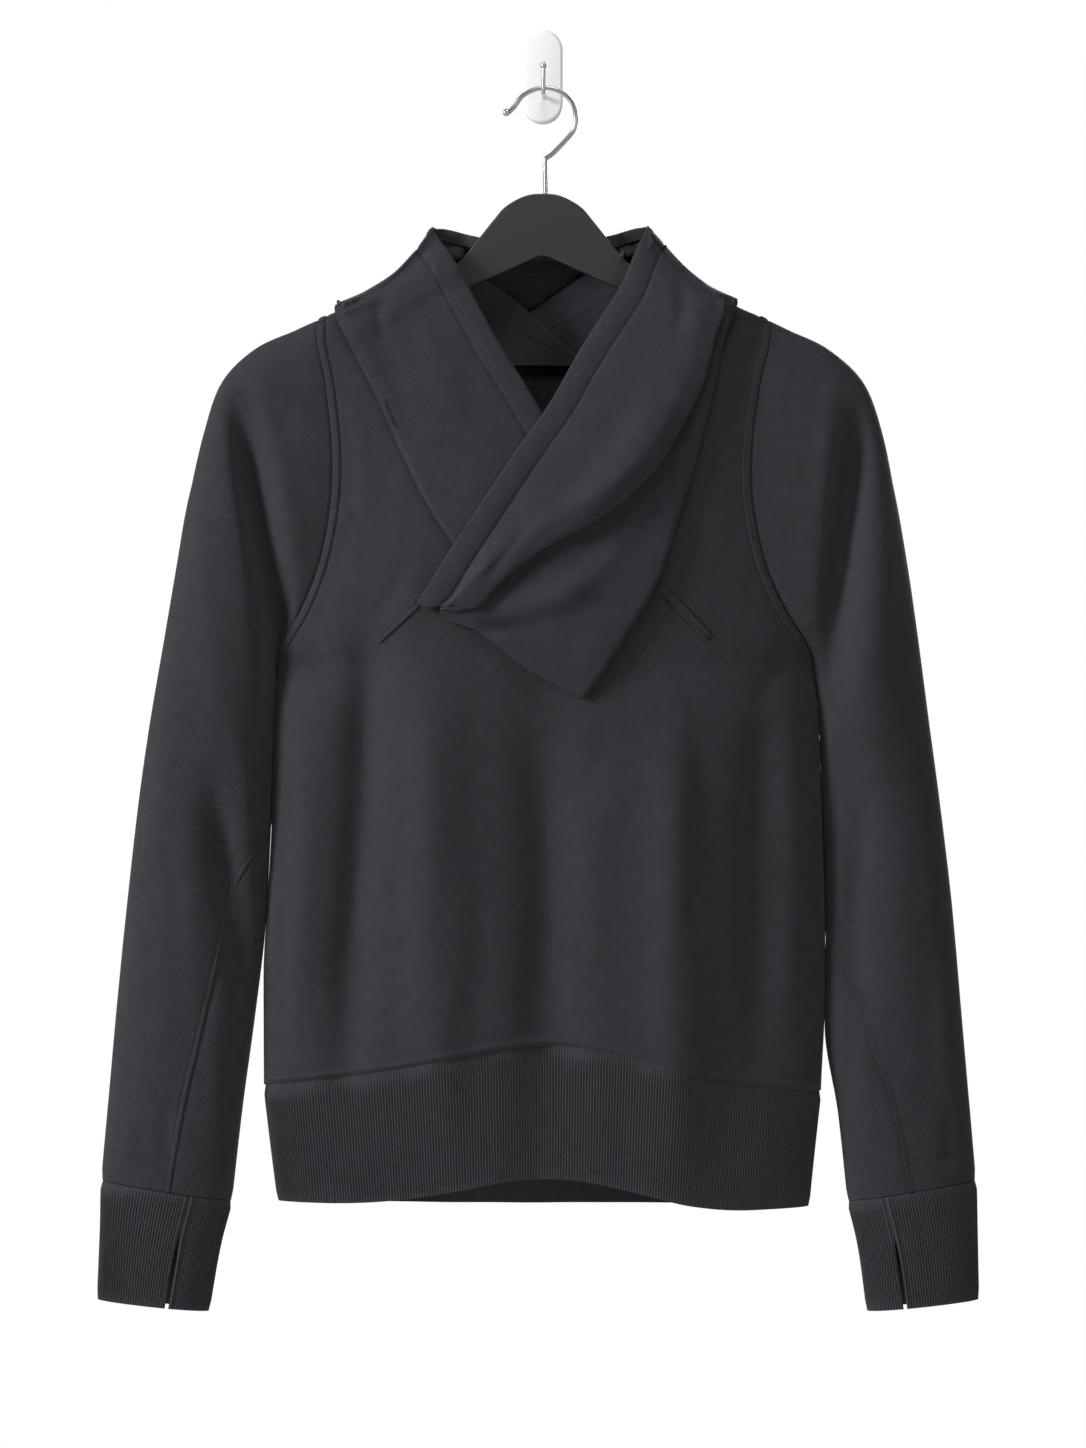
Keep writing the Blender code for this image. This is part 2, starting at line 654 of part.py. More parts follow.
class Surface:
    """Flat facets of some panels, read for the depth under a point of the front view."""

    def __init__(self, panels, facing, form):
        self.facing, self.form = facing, form
        corners = []
        for panel in panels:
            for r, c in np.argwhere(panel.used):
                a, b = panel.points[r, c], panel.points[r, c + 1]
                d, e = panel.points[r + 1, c], panel.points[r + 1, c + 1]
                corners.extend([(a, b, e), (a, e, d)])
        corners = np.array(corners)
        normals = np.cross(corners[:, 1] - corners[:, 0], corners[:, 2] - corners[:, 0])
        self.corners = corners[normals[:, 1] * facing > 1e-6]

    def depth(self, x, z):
        """Depth at a point, carried past the panels' edges along the general form."""
        a, b, c = (self.corners[:, i][:, [0, 2]] for i in range(3))
        p = np.array([x, z])
        whole = (b[:, 0] - a[:, 0]) * (c[:, 1] - a[:, 1]) - (c[:, 0] - a[:, 0]) * (b[:, 1] - a[:, 1])
        u = ((b[:, 0] - p[0]) * (c[:, 1] - p[1]) - (c[:, 0] - p[0]) * (b[:, 1] - p[1])) / whole
        v = ((c[:, 0] - p[0]) * (a[:, 1] - p[1]) - (a[:, 0] - p[0]) * (c[:, 1] - p[1])) / whole
        weights = np.clip(np.stack([u, v, 1 - u - v], axis=1), 0.0, 1.0)
        weights /= weights.sum(axis=1, keepdims=True)
        nearest = np.einsum("ij,ijk->ik", weights, self.corners)
        gap = np.hypot(nearest[:, 0] - x, nearest[:, 2] - z)
        close = gap < gap.min() + 0.01
        ys = nearest[close, 1] * self.facing
        best = np.argmax(ys)
        spot = nearest[close][best]
        return spot[1] + self.form(x, z) - self.form(spot[0], spot[2])


def keep_clear(grid, surface, held, turned=2, passes=4):
    """Move points off the cloth below wherever the flat facets between them would touch it."""
    rows, columns, _ = grid.shape
    for _ in range(passes):
        push = np.zeros((rows, columns))
        for r, c in np.ndindex(rows - 1, columns - 1):
            need = 0.6 if c >= columns - 1 - turned else CLOTH + 0.6
            a, b, d, e = grid[r, c], grid[r, c + 1], grid[r + 1, c], grid[r + 1, c + 1]
            for u, v in CLEAR_SPOTS:
                spot = a + u * (b - a) + v * (e - b) if v <= u else a + v * (d - a) + u * (e - d)
                gap = surface.facing * (spot[1] - surface.depth(spot[0], spot[2]))
                if gap < need:
                    push[r:r + 2, c:c + 2] = np.maximum(push[r:r + 2, c:c + 2], need - gap)
        if push.max() < 0.02:
            break
        push[:, -3:] = push[:, -3:].max(axis=1, keepdims=True)
        push[held] = 0.0
        grid[:, :, 1] += surface.facing * push
    return grid


def across(count):
    """Places across the body, from -1 to 1, closer together near the sides."""
    return np.sin(0.5 * np.pi * np.linspace(-1.0, 1.0, count + 1))


def edge_points(side, turns):
    """Side edge of a body panel from the hem seam up to the armpit and on up the armhole."""
    low = float(HEM["seam_front"][0 if side == "left" else -1])
    heights = np.linspace(low, ARMPIT_Z, SIDE_ROWS + 1)[:-1]
    lower = [side_seam(side, z, z) for z in heights]
    return np.array(lower + [armhole(side, t) for t in turns])


def lofted(left, right, low, top, stations, back):
    """Grid between two side edges, a lower edge and a top edge."""
    rows = len(left)
    grid = np.zeros((rows, len(stations), 3))
    for r in range(rows):
        v = r / (rows - 1)
        for c, s in enumerate(stations):
            u = 0.5 * (1 + s)
            flat = (1 - v) * low[c] + v * top[c] + (1 - u) * left[r] + u * right[r]
            flat -= (1 - v) * ((1 - u) * low[0] + u * low[-1]) + v * ((1 - u) * top[0] + u * top[-1])
            grid[r, c] = flat
            if 0 < c < len(stations) - 1 and r < rows - 1:
                grid[r, c, 1] = body_y(flat[0], flat[2], s, back)
    grid[:, 0], grid[:, -1] = left, right
    return grid


def hem_point(s, level, back):
    """Point of the hem seam or of the band's lower edge."""
    face = "back" if back else "front"
    taper = {"seam": 1.0, "bottom": 0.952}[level]
    left, right = side_x(-737.0, "left") * taper, side_x(-737.0, "right") * taper
    u = 0.5 * (1 + s)
    x = (1 - u) * left + u * right
    z = spline(HEM["x"], HEM[level + "_" + face], x / taper)
    if abs(s) > 0.999:
        return np.array([x, SIDE_Y, z])
    return np.array([x, body_y(x, z, s, back), z])


def front_panel():
    stations = across(FRONT_COLUMNS)
    left, right = edge_points("left", FRONT_TURNS[::-1]), edge_points("right", FRONT_TURNS[::-1])
    low = np.array([hem_point(s, "seam", False) for s in stations])
    neck = NECK_HALF_WIDTH / SHOULDER_TIP_X
    top = []
    for s in stations:
        if abs(s) > neck - 0.02:
            top.append(shoulder(s, TOP_TURN))
            continue
        end = shoulder(math.copysign(neck, s), TOP_TURN)
        share = 1 - abs(s) / neck
        z = end[2] + (FRONT_NECK_Z - end[2]) * share
        x = end[0] * (1 - share)
        top.append(np.array([x, body_y(x, z, s * 0.6), z]))
    return Panel("front", lofted(left, right, low, np.array(top), stations, False))


def back_panel():
    """Back, whose shoulders lie over the hanger and end in front of it."""
    stations = across(BACK_COLUMNS)
    left, right = edge_points("left", BACK_TURNS), edge_points("right", BACK_TURNS)
    low = np.array([hem_point(s, "seam", True) for s in stations])
    neck = NECK_HALF_WIDTH / SHOULDER_TIP_X
    top = []
    for s in stations:
        if abs(s) > neck - 0.02:
            top.append(shoulder(s, 345.0))
            continue
        end = shoulder(math.copysign(neck, s), 345.0)
        share = abs(s) / neck
        z = BACK_NECK_Z + (end[2] - BACK_NECK_Z) * smoothstep(0.25, 1.0, share)
        top.append(np.array([end[0] * share, back_neck_y(share), z]))
    grid = lofted(left, right, low, np.array(top), stations, True)
    over = np.array([[ridge(s) for s in stations], [shoulder(s, TOP_TURN) for s in stations]])
    grid = np.concatenate([grid, over])[:, ::-1]
    used = all_cells(grid)
    wraps = np.abs(0.5 * (stations[1:] + stations[:-1])) > neck - 0.02
    used[-2:] = wraps[None, :]
    return Panel("back", grid, used)


def sleeve_rows():
    """Section numbers of the sleeve's rings."""
    return np.linspace(0.0, len(SLEEVE["bow"]) - 1.0, SLEEVE_RINGS + 1)


def under_turns(side, row):
    """Turns of the under-sleeve's two seams at a section."""
    z = by_row(SLEEVE, "inner_z", row)
    front = spline(UNDER_SEAM["inner_z"], UNDER_SEAM["front_" + side], z)
    return front, spline(UNDER_SEAM["inner_z"], UNDER_SEAM["back"], z)


def ring_point(side, row, turn):
    return armhole(side, turn) if row == 0.0 else sleeve_point(side, row, turn)


def spread(known, start, end):
    """Stretch the armhole's turns to lie between a ring's two seams."""
    return start + (known - known[0]) * (end - start) / (known[-1] - known[0])


def sleeve_panels(side):
    """Sleeve and under-sleeve, cut from one tube along two seams."""
    over = np.concatenate([BACK_TURNS[len(UNDER_TURNS):], [360.0], 360.0 + FRONT_TURNS, [555.0]])
    rows = sleeve_rows()[::-1]
    outer, under = [], []
    for row in rows:
        front, back = under_turns(side, row)
        outer.append([ring_point(side, row, t) for t in spread(over, back, 360.0 + front)])
        under.append([ring_point(side, row, t) for t in spread(UNDER_TURNS, front, back)])
    outer, under = np.array(outer), np.array(under)
    if side == "right":
        outer, under = outer[:, ::-1], under[:, ::-1]
    return Panel("sleeve_" + side, outer), Panel("undersleeve_" + side, under)


def hem_band():
    """Rib band round the hem, its coarse points on the ends of the body's columns."""
    front, back = across(FRONT_COLUMNS), across(BACK_COLUMNS)[::-1]
    rings = []
    for share in (1.0, 0.5, 0.0):
        ring = []
        for stations, is_back in ((front[:-1], False), (back[:-1], True)):
            for s in stations:
                top, low = hem_point(s, "seam", is_back), hem_point(s, "bottom", is_back)
                ring.append(share * low + (1 - share) * top)
        rings.append(ring)
    outer = np.array(rings)
    count = outer.shape[1]
    normals = np.zeros_like(outer)
    for c in range(count):
        run = outer[:, (c + 1) % count] - outer[:, c - 1]
        rise = outer[2, c] - outer[0, c]
        for r in range(3):
            normals[r, c] = unit(np.cross(run[r], rise))
    outer[2, :, 2] -= 0.5 * SEAM_GAP
    return outer, normals


def cuff_ring(side, row, turn):
    ox, oz = by_row(CUFF, "outer_" + side, row), by_row(CUFF, "outer_z", row)
    ix, iz = by_row(CUFF, "inner_" + side, row), by_row(CUFF, "inner_z", row)
    angle = math.radians(turn)
    t = 0.5 * (1 - math.cos(angle))
    share = abs(math.sin(angle)) ** (0.8 + 0.35 * t)
    middle = HANG_Y + (SIDE_Y + 1.0 - HANG_Y) * t
    depth = by_row(CUFF, "front" if turn % 360.0 <= 180.0 else "back", row) * share
    y = middle - depth if turn % 360.0 <= 180.0 else middle + depth
    return np.array([ox + t * (ix - ox), y, oz + t * (iz - oz)])


def cuff(side):
    """Rib cuff, open along its vent and closed above it."""
    last = len(SLEEVE["bow"]) - 1.0
    front, back = under_turns(side, last)
    over = np.concatenate([BACK_TURNS[len(UNDER_TURNS):], [360.0], 360.0 + FRONT_TURNS, [555.0]])
    turns = np.concatenate([spread(over, back, 360.0 + front)[:-1], spread(UNDER_TURNS, front, back)[:-1]])
    turns = np.unique(np.round(np.mod(turns, 360.0), 6))
    vent = float(by_row(CUFF, "vent_" + side, 0.0))
    turns = turns[np.abs(turns - vent) > 2.0]
    order = np.concatenate([turns[turns > vent], turns[turns < vent] + 360.0])
    rows = []
    for row in (2.0, 1.0, 0.0):
        here = float(by_row(CUFF, "vent_" + side, row))
        ring = [cuff_ring(side, row, here)]
        ring.extend(cuff_ring(side, row, turn) for turn in order)
        ring.append(cuff_ring(side, row, here))
        opening = VENT_HALF_WIDTH if row == 2.0 else 0.5 * SEAM_GAP
        ring[0] = ring[0] + opening * unit(ring[1] - ring[0])
        ring[-1] = ring[-1] + opening * unit(ring[-2] - ring[-1])
        rows.append(ring)
    outer = np.array(rows)
    if side == "right":
        outer = outer[:, ::-1]
    count = outer.shape[1]
    normals = np.zeros_like(outer)
    for c in range(count):
        for r in range(3):
            run = outer[r, min(c + 1, count - 1)] - outer[r, max(c - 1, 0)]
            normals[r, c] = unit(np.cross(run, outer[2, c] - outer[0, c]))
    return outer, normals


# Collar


def collar_section(inner, outer, sag, sag_way, heights, base):
    """Points across one collar section; heights are pairs of distance and height."""
    span = outer - inner
    width = math.hypot(span[0], span[1])
    direction = span / width
    normal = np.array([-direction[1], direction[0]]) * sag_way
    points = []
    for distance, height in heights:
        t = np.clip(distance / width, 0.0, 1.0)
        place = inner + direction * distance + normal * sag * math.sin(math.pi * t)
        points.append(np.array([place[0], base(place[0], place[1]) - height, place[1]]))
    return points


def profile(width, edge, crest, roll, drop, out, lift):
    """Distances and heights across the collar: band, crest, step, lower layer, turned edge."""
    step = min(3.0, width * (1 - roll) / 3.0)
    fold = 0.5 * FOLD
    turn = width * roll
    low = crest - drop
    return [
        (0.0, edge),
        (0.5 * BAND_WIDTH, edge + 0.8 * lift),
        (BAND_WIDTH, edge),
        (0.5 * (BAND_WIDTH + turn - 14.0), 0.6 * edge + 0.4 * crest),
        (turn - 14.0, crest),
        (turn - step, crest - 0.1 * drop),
        (turn + step, low + 0.1 * drop),
        (width - 3.0 * lift - 0.3, 0.3 * low + 0.7 * out if drop else out),
        (width, out - fold * lift),
        (width - 3.0 * lift - 0.3, out - FOLD * lift),
        (width - 14.0, out - FOLD * lift),
    ]


def lapel_grid(rows, sag_way, steps, chest):
    """Collar front, row by row from the neck ridge to its lower end."""
    last = len(rows["lift"]) - 1
    grid = []
    for row in np.linspace(0.0, last, steps + 1):
        read = {name: float(by_row(rows, name, row)) for name in rows}
        inner = np.array([read["inner_x"], read["inner_z"]])
        outer = np.array([read["outer_x"], read["outer_z"]])
        width = float(np.linalg.norm(outer - inner))
        lift = float(np.clip(read["lift"], 0.0, 1.0))
        heights = profile(width, read["edge"], read["crest"], read["roll"], read["drop"], read["out"], lift)
        grid.append(collar_section(inner, outer, read["sag"], sag_way, heights, chest.depth))
    grid = np.array(grid)
    grid[0, :, 1] = HANG_Y
    return grid


def ridge_turn(grid, side):
    """Turn the collar's edge under at the ridge, where it lies on the shoulder."""
    tip = grid[0, 8].copy()
    way = 1.0 if side == "left" else -1.0
    for column, reach in ((8, 0.0), (9, 3.0), (10, 13.0)):
        x = tip[0] + way * reach
        on_shoulder = SHOULDER_TIP_Z + SHOULDER_SLOPE * (SHOULDER_TIP_X - abs(x)) + RIDGE_LIFT
        z = 0.5 * (tip[2] + on_shoulder) if column == 8 else on_shoulder
        grid[0, column] = (x, HANG_Y, z)
    return grid


def collar_back_grid(left_ridge, right_ridge, behind):
    """Collar behind the neck, from one ridge to the other."""
    last = len(COLLAR_BACK["lift"]) - 1
    grid = [left_ridge]
    for row in np.linspace(0.0, last, COLLAR_BACK_ROWS + 1)[1:-1]:
        read = {name: float(by_row(COLLAR_BACK, name, row)) for name in COLLAR_BACK}
        inner = np.array([read["top_x"], read["top_z"]])
        outer = np.array([read["low_x"], read["low_z"]])
        width = float(np.linalg.norm(outer - inner))
        lift = float(np.clip(read["lift"], 0.0, 1.0))
        heights = profile(width, 3.2, 4.6, 0.90, 0.0, 6.8, lift)
        heights = [(distance, -height) for distance, height in heights]
        sag_way = 1.0 if read["top_x"] < 0.0 else -1.0
        grid.append(collar_section(inner, outer, read["sag"], sag_way, heights, behind.depth))
    grid.append(right_ridge)
    return np.array(grid)


def collar(chest, behind):
    """Two crossing fronts and the back, which meet along the neck ridges."""
    under = ridge_turn(lapel_grid(LAPEL_UNDER, 1.0, LAPEL_UNDER_ROWS, chest), "left")
    over = ridge_turn(lapel_grid(LAPEL_OVER, -1.0, LAPEL_OVER_ROWS, chest), "right")
    back = collar_back_grid(under[0], over[0], behind)
    keep_clear(under, chest, [0])
    keep_clear(over, chest, [0])
    keep_clear(back, behind, [0, -1])
    panels = [
        Panel("collar_right", under),
        Panel("collar_left", over[:, ::-1]),
        Panel("collar_back", back[:, ::-1]),
    ]
    share_normals(panels, [])
    for panel in panels:
        wall(panel, gap=2 * SEAM_GAP)
    return Surface(panels[2:], 1.0, open_back_y)


def back_neck_y(share):
    """Depth of the back's outer face along its neckline."""
    return -9.0 + (shoulder(1.0, 345.0)[1] + 9.0) * share ** 3


def neck_band(name, rows, behind, collar_back, steps=6, columns=3):
    """Band inside the back of the neck, which shows between the collar's edges."""
    grid = []
    for v in np.linspace(0.0, 1.0, columns + 1):
        line = []
        for row in np.linspace(0.0, len(rows["top_x"]) - 1.0, steps + 1):
            read = {key: float(by_row(rows, key, row)) for key in rows}
            x = (1 - v) * read["low_x"] + v * read["top_x"]
            z = (1 - v) * read["low_z"] + v * read["top_z"]
            y = min(behind.depth(x, z), collar_back.depth(x, z)) - CLOTH
            y -= read["layer"] * NECK_LAYER
            line.append((x, y, z))
        grid.append(line)
    panel = Panel(name, grid)
    share_normals([panel], [])
    wall(panel)


def welt(name, i, chest):
    """Narrow strip stitched on the chest, made from the front's own face."""
    top = np.array([WELTS["top_x"][i], WELTS["top_z"][i]])
    low = np.array([WELTS["low_x"][i], WELTS["low_z"][i]])
    run = unit(top - low)
    side = np.array([run[1], -run[0]])
    grid = []
    for v in np.linspace(0.0, 1.0, 6):
        line = []
        for u in (-0.5, 0.5):
            place = low + v * (top - low) + u * WELT_WIDTH * side
            line.append((place[0], chest.depth(*place) - WELT_THICK - WELT_LIFT, place[1]))
        grid.append(line)
    panel = Panel(name, grid)
    share_normals([panel], [])
    wall(panel, thickness=WELT_THICK, gap=0.0)


# Hanger, hook and wall plate


def plate_from_outline(name, outline, low_y, high_y, bevel, finish):
    """Flat board between two depths, with its edges rounded."""
    bm = bmesh.new()
    face = bm.faces.new([bm.verts.new((x, high_y, z)) for x, z in outline])
    bmesh.ops.recalc_face_normals(bm, faces=[face])
    made = bmesh.ops.extrude_face_region(bm, geom=[face])
    moved = [v for v in made["geom"] if isinstance(v, bmesh.types.BMVert)]
    bmesh.ops.translate(bm, verts=moved, vec=(0.0, low_y - high_y, 0.0))
    bmesh.ops.recalc_face_normals(bm, faces=bm.faces)
    rims = [e for e in bm.edges if abs(e.verts[0].co.y - e.verts[1].co.y) < 1e-6]
    front_only = [e for e in rims if e.verts[0].co.y < 0.5 * (low_y + high_y)]
    chosen = front_only if high_y == 0.0 else rims
    bmesh.ops.bevel(
        bm, geom=chosen, offset=bevel, segments=2, profile=0.5, affect="EDGES", clamp_overlap=True, material=-1
    )
    return add_object(name, bm, finish)


def arm_top(x):
    return SHOULDER_TIP_Z + SHOULDER_SLOPE * (SHOULDER_TIP_X - x) - ARM_DROP


def hanger():
    """Flat hanger: an arch in the middle and two sloping arms with round ends."""
    half = [(float(x), float(z)) for x, z in zip(HANGER_TOP["x"], HANGER_TOP["z"])]
    bend = ARM_HALF_SPAN - ARM_TIP_RADIUS
    along = unit(np.array([1.0, -SHOULDER_SLOPE]))
    upward = np.array([-along[1], along[0]])
    low_z = HANGER_APEX_Z - SHOULDER_SLOPE * bend
    centre = np.array([bend, 0.5 * (arm_top(bend) + low_z)])
    radius = 0.5 * (arm_top(bend) - low_z) * along[0]
    for angle in np.radians(np.arange(90.0, -91.0, -30.0)):
        point = centre + radius * (math.cos(angle) * along + math.sin(angle) * upward)
        half.append((float(point[0]), float(point[1])))
    mirrored = [(-x, z) for x, z in reversed(half)]
    outline = mirrored[:-1] + half + [(0.0, HANGER_APEX_Z)]
    black = material("hanger_black", (0.040, 0.040, 0.039), 0.45)
    thick = 0.5 * HANGER_THICK
    plate_from_outline("hanger", outline, HANG_Y - thick, HANG_Y + thick, 1.6, black)


def wire(name, points, radii, diameter, finish):
    """Round wire along a smooth path, with a rounded end where its radius shrinks."""
    data = bpy.data.curves.new(name, "CURVE")
    data.dimensions = "3D"
    data.bevel_depth = 0.5 * diameter * MM
    data.bevel_resolution = 2
    data.use_fill_caps = True
    line = data.splines.new("POLY")
    line.points.add(len(points) - 1)
    for spot, point, radius in zip(line.points, points, radii):
        spot.co = (point[0] * MM, point[1] * MM, point[2] * MM, 1.0)
        spot.radius = radius
    data.materials.append(finish)
    made = bpy.data.objects.new(name, data)
    bpy.context.scene.collection.objects.link(made)
    return made


BALL_SHAPE = ((-0.9, 1.0), (-0.75, 1.3), (-0.2, 1.55), (0.35, 1.45), (0.75, 1.0), (0.95, 0.45))


def ball_end(points, diameter):
    """Add a small ball to the end of a wire's path; returns the path and its radii."""
    points = [np.array(p, float) for p in points]
    run = unit(points[-1] - points[-2])
    centre = points[-1]
    path, radii = points[:-1], [1.0] * (len(points) - 1)
    for share, radius in BALL_SHAPE:
        path.append(centre + run * share * diameter)
        radii.append(radius)
    return path, radii


def hanger_hook():
    """Hook wire, in two lengths that meet where it is bent round to its bow."""
    steel = material("satin_steel", (0.55, 0.54, 0.52), 0.32, 1.0)
    last = len(HOOK["x"]) - 1.0
    for name, rows in (("hanger_hook", np.linspace(0.0, BOW_ROW, 12)), ("hook_bow", np.linspace(BOW_ROW, last, 17))):
        points = [np.array((by_row(HOOK, "x", r), HANG_Y, by_row(HOOK, "z", r)), float) for r in rows]
        radii = [1.0] * len(points)
        if name == "hook_bow":
            points[0] = points[0] + SEAM_GAP * unit(points[1] - points[0])
            points, radii = ball_end(points, HOOK_WIRE)
        wire(name, points, radii, HOOK_WIRE, steel)


def wall_pin():
    """Pin from the plate, turned up in front of the hook that rests on it."""
    steel = material("satin_steel", (0.55, 0.54, 0.52), 0.32, 1.0)
    rest = float(HOOK["z"].max()) - 0.5 * HOOK_WIRE - SEAM_GAP - 0.5 * PIN_WIRE
    upright = HANG_Y - 0.5 * (HOOK_WIRE + PIN_WIRE) - SEAM_GAP
    bend = 2.6
    points = [(PIN_X, -PLATE_THICK - SEAM_GAP, rest), (PIN_X, 0.5 * upright, rest)]
    for angle in np.radians(np.arange(0.0, 91.0, 22.5)):
        points.append((PIN_X, upright + bend - bend * math.sin(angle), rest + bend - bend * math.cos(angle)))
    points.extend([(PIN_X, upright, -5.0), (PIN_X, upright, PIN_TOP_Z)])
    path, radii = ball_end(points, PIN_WIRE)
    wire("wall_pin", path, radii, PIN_WIRE, steel)


def wall_plate():
    white = material("plate_white", (0.86, 0.85, 0.83), 0.5)
    radius = 0.5 * PLATE_WIDTH
    straight = 0.5 * PLATE_HEIGHT - radius
    outline = []
    for way in (1.0, -1.0):
        for angle in np.radians(np.linspace(0.0, 180.0, 13)):
            outline.append((way * radius * math.cos(angle), way * (straight + radius * math.sin(angle))))
    plate_from_outline("wall_plate", outline, -PLATE_THICK, 0.0, 2.4, white)


def body():
    """Front, back, sleeves and the rib bands, cut from one form; returns what lies on them."""
    panels = [front_panel(), back_panel()]
    for side in ("left", "right"):
        panels.extend(sleeve_panels(side))
    armpits = [(armhole(side, 180.0), ARMPIT_NORMAL[side]) for side in ("left", "right")]
    share_normals(panels, armpits)
    for panel, gap in zip(panels, (2, 2, 2, 3, 3, 3)):
        wall(panel, gap=gap * SEAM_GAP)
    outer, normals = hem_band()
    ribbed_wall("hem_band", outer, normals, True, rib_knit())
    for side in ("left", "right"):
        outer, normals = cuff(side)
        ribbed_wall("cuff_" + side, outer, normals, False, rib_knit())
    return Surface(panels[:2], -1.0, open_front_y), Surface(panels[1:2], 1.0, open_back_y)


def main():
    for found in list(bpy.data.objects):
        bpy.data.objects.remove(found, do_unlink=True)
    chest, behind = body()
    collar_back = collar(chest, behind)
    neck_band("neck_band_right", NECK_BAND_RIGHT, behind, collar_back)
    neck_band("neck_band_left", NECK_BAND_LEFT, behind, collar_back)
    welt("welt_right", 0, chest)
    welt("welt_left", 1, chest)
    hanger()
    hanger_hook()
    wall_pin()
    wall_plate()


main()
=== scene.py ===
import functools
import math

import bmesh
import bpy
import numpy as np
from mathutils import Matrix, Vector
from mathutils.bvhtree import BVHTree


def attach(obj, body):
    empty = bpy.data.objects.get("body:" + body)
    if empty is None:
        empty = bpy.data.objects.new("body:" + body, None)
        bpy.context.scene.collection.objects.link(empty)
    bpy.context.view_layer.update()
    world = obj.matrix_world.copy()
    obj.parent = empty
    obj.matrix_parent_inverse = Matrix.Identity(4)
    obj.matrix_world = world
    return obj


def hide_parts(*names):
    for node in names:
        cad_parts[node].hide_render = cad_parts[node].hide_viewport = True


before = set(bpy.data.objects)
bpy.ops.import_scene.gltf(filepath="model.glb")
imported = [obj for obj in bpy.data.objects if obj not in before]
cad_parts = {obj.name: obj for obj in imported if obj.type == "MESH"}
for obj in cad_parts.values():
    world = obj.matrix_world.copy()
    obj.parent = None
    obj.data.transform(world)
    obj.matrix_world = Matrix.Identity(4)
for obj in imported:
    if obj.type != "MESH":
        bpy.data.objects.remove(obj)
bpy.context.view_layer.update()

# Sweatshirt with a crossed collar, on a flat hanger and a wall hook.
# X runs to the right as the front is seen, Z is up and the front faces -Y.
# Shapes are worked out in millimetres and made in metres.
MM = 0.001
CLOTH = 1.8
HANG_Y = -36.0
SIDE_Y = -40.0
NECK_HALF_WIDTH = 81.5
SHOULDER_SLOPE = 0.445
SHOULDER_TIP_Z = -179.3
SHOULDER_TIP_X = 162.0
ARMPIT_Z = -427.0
FRONT_NECK_Z = -311.0
BACK_NECK_Z = -211.7
RIDGE_LIFT = 1.1
BAND_WIDTH = 18.0
RIB_PITCH = 2.05
RIB_HEIGHT = 0.55
CREASE = 1.5


def table(columns, *rows):
    """Name the columns of a short table."""
    return {name: np.array([row[i] for row in rows], float) for i, name in enumerate(columns.split())}


# Torso side edges from the hem seam up to the armpit
SIDES = table(
    "z left right",
    (-737.0, -202.0, 201.2),
    (-656.0, -202.3, 204.5),
    (-599.0, -199.4, 203.8),
    (-549.0, -196.6, 202.3),
    (-469.0, -194.4, 199.4),
    (ARMPIT_Z, -193.0, 195.4),
)

# Depth of the front and of the back down the middle of the body
MIDDLE = table(
    "z front back",
    (-822.0, -77.0, -12.0),
    (-705.0, -80.0, -10.0),
    (-600.0, -83.0, -9.0),
    (-480.0, -85.0, -8.5),
    (-380.0, -83.0, -8.5),
    (-300.0, -76.0, -8.5),
    (-240.0, -67.0, -9.0),
    (-185.0, -56.0, -10.0),
    (-145.0, -45.0, -12.0),
    (-112.0, -44.0, -14.0),
)

# Lower edge of the front, the seam of the hem band and its bottom, across the body
HEM = table(
    "x seam_front bottom_front seam_back bottom_back",
    (-202.0, -733.0, -817.0, -733.0, -817.0),
    (-163.0, -728.6, -817.0, -735.0, -818.5),
    (-108.0, -720.7, -814.2, -738.0, -820.0),
    (-64.0, -712.1, -807.4, -740.0, -820.8),
    (-25.0, -705.6, -800.4, -741.0, -820.8),
    (8.0, -703.4, -799.0, -741.0, -820.8),
    (30.0, -705.6, -800.6, -741.0, -820.8),
    (71.0, -713.5, -809.0, -740.0, -820.8),
    (112.0, -725.0, -818.6, -739.0, -821.0),
    (154.0, -733.0, -822.2, -738.0, -821.0),
    (201.2, -737.3, -820.8, -737.3, -820.8),
)

# Inward bow of the armhole seam along its chord, as a share of its depth
ARMHOLE = table(
    "along bow",
    (0.00, 0.00),
    (0.02, -0.02),
    (0.19, 0.44),
    (0.38, 0.86),
    (0.53, 1.00),
    (0.62, 0.98),
    (0.73, 0.85),
    (0.86, 0.49),
    (0.93, 0.20),
    (1.00, 0.00),
)
ARMHOLE_BOW = {"left": 26.0, "right": 29.5}

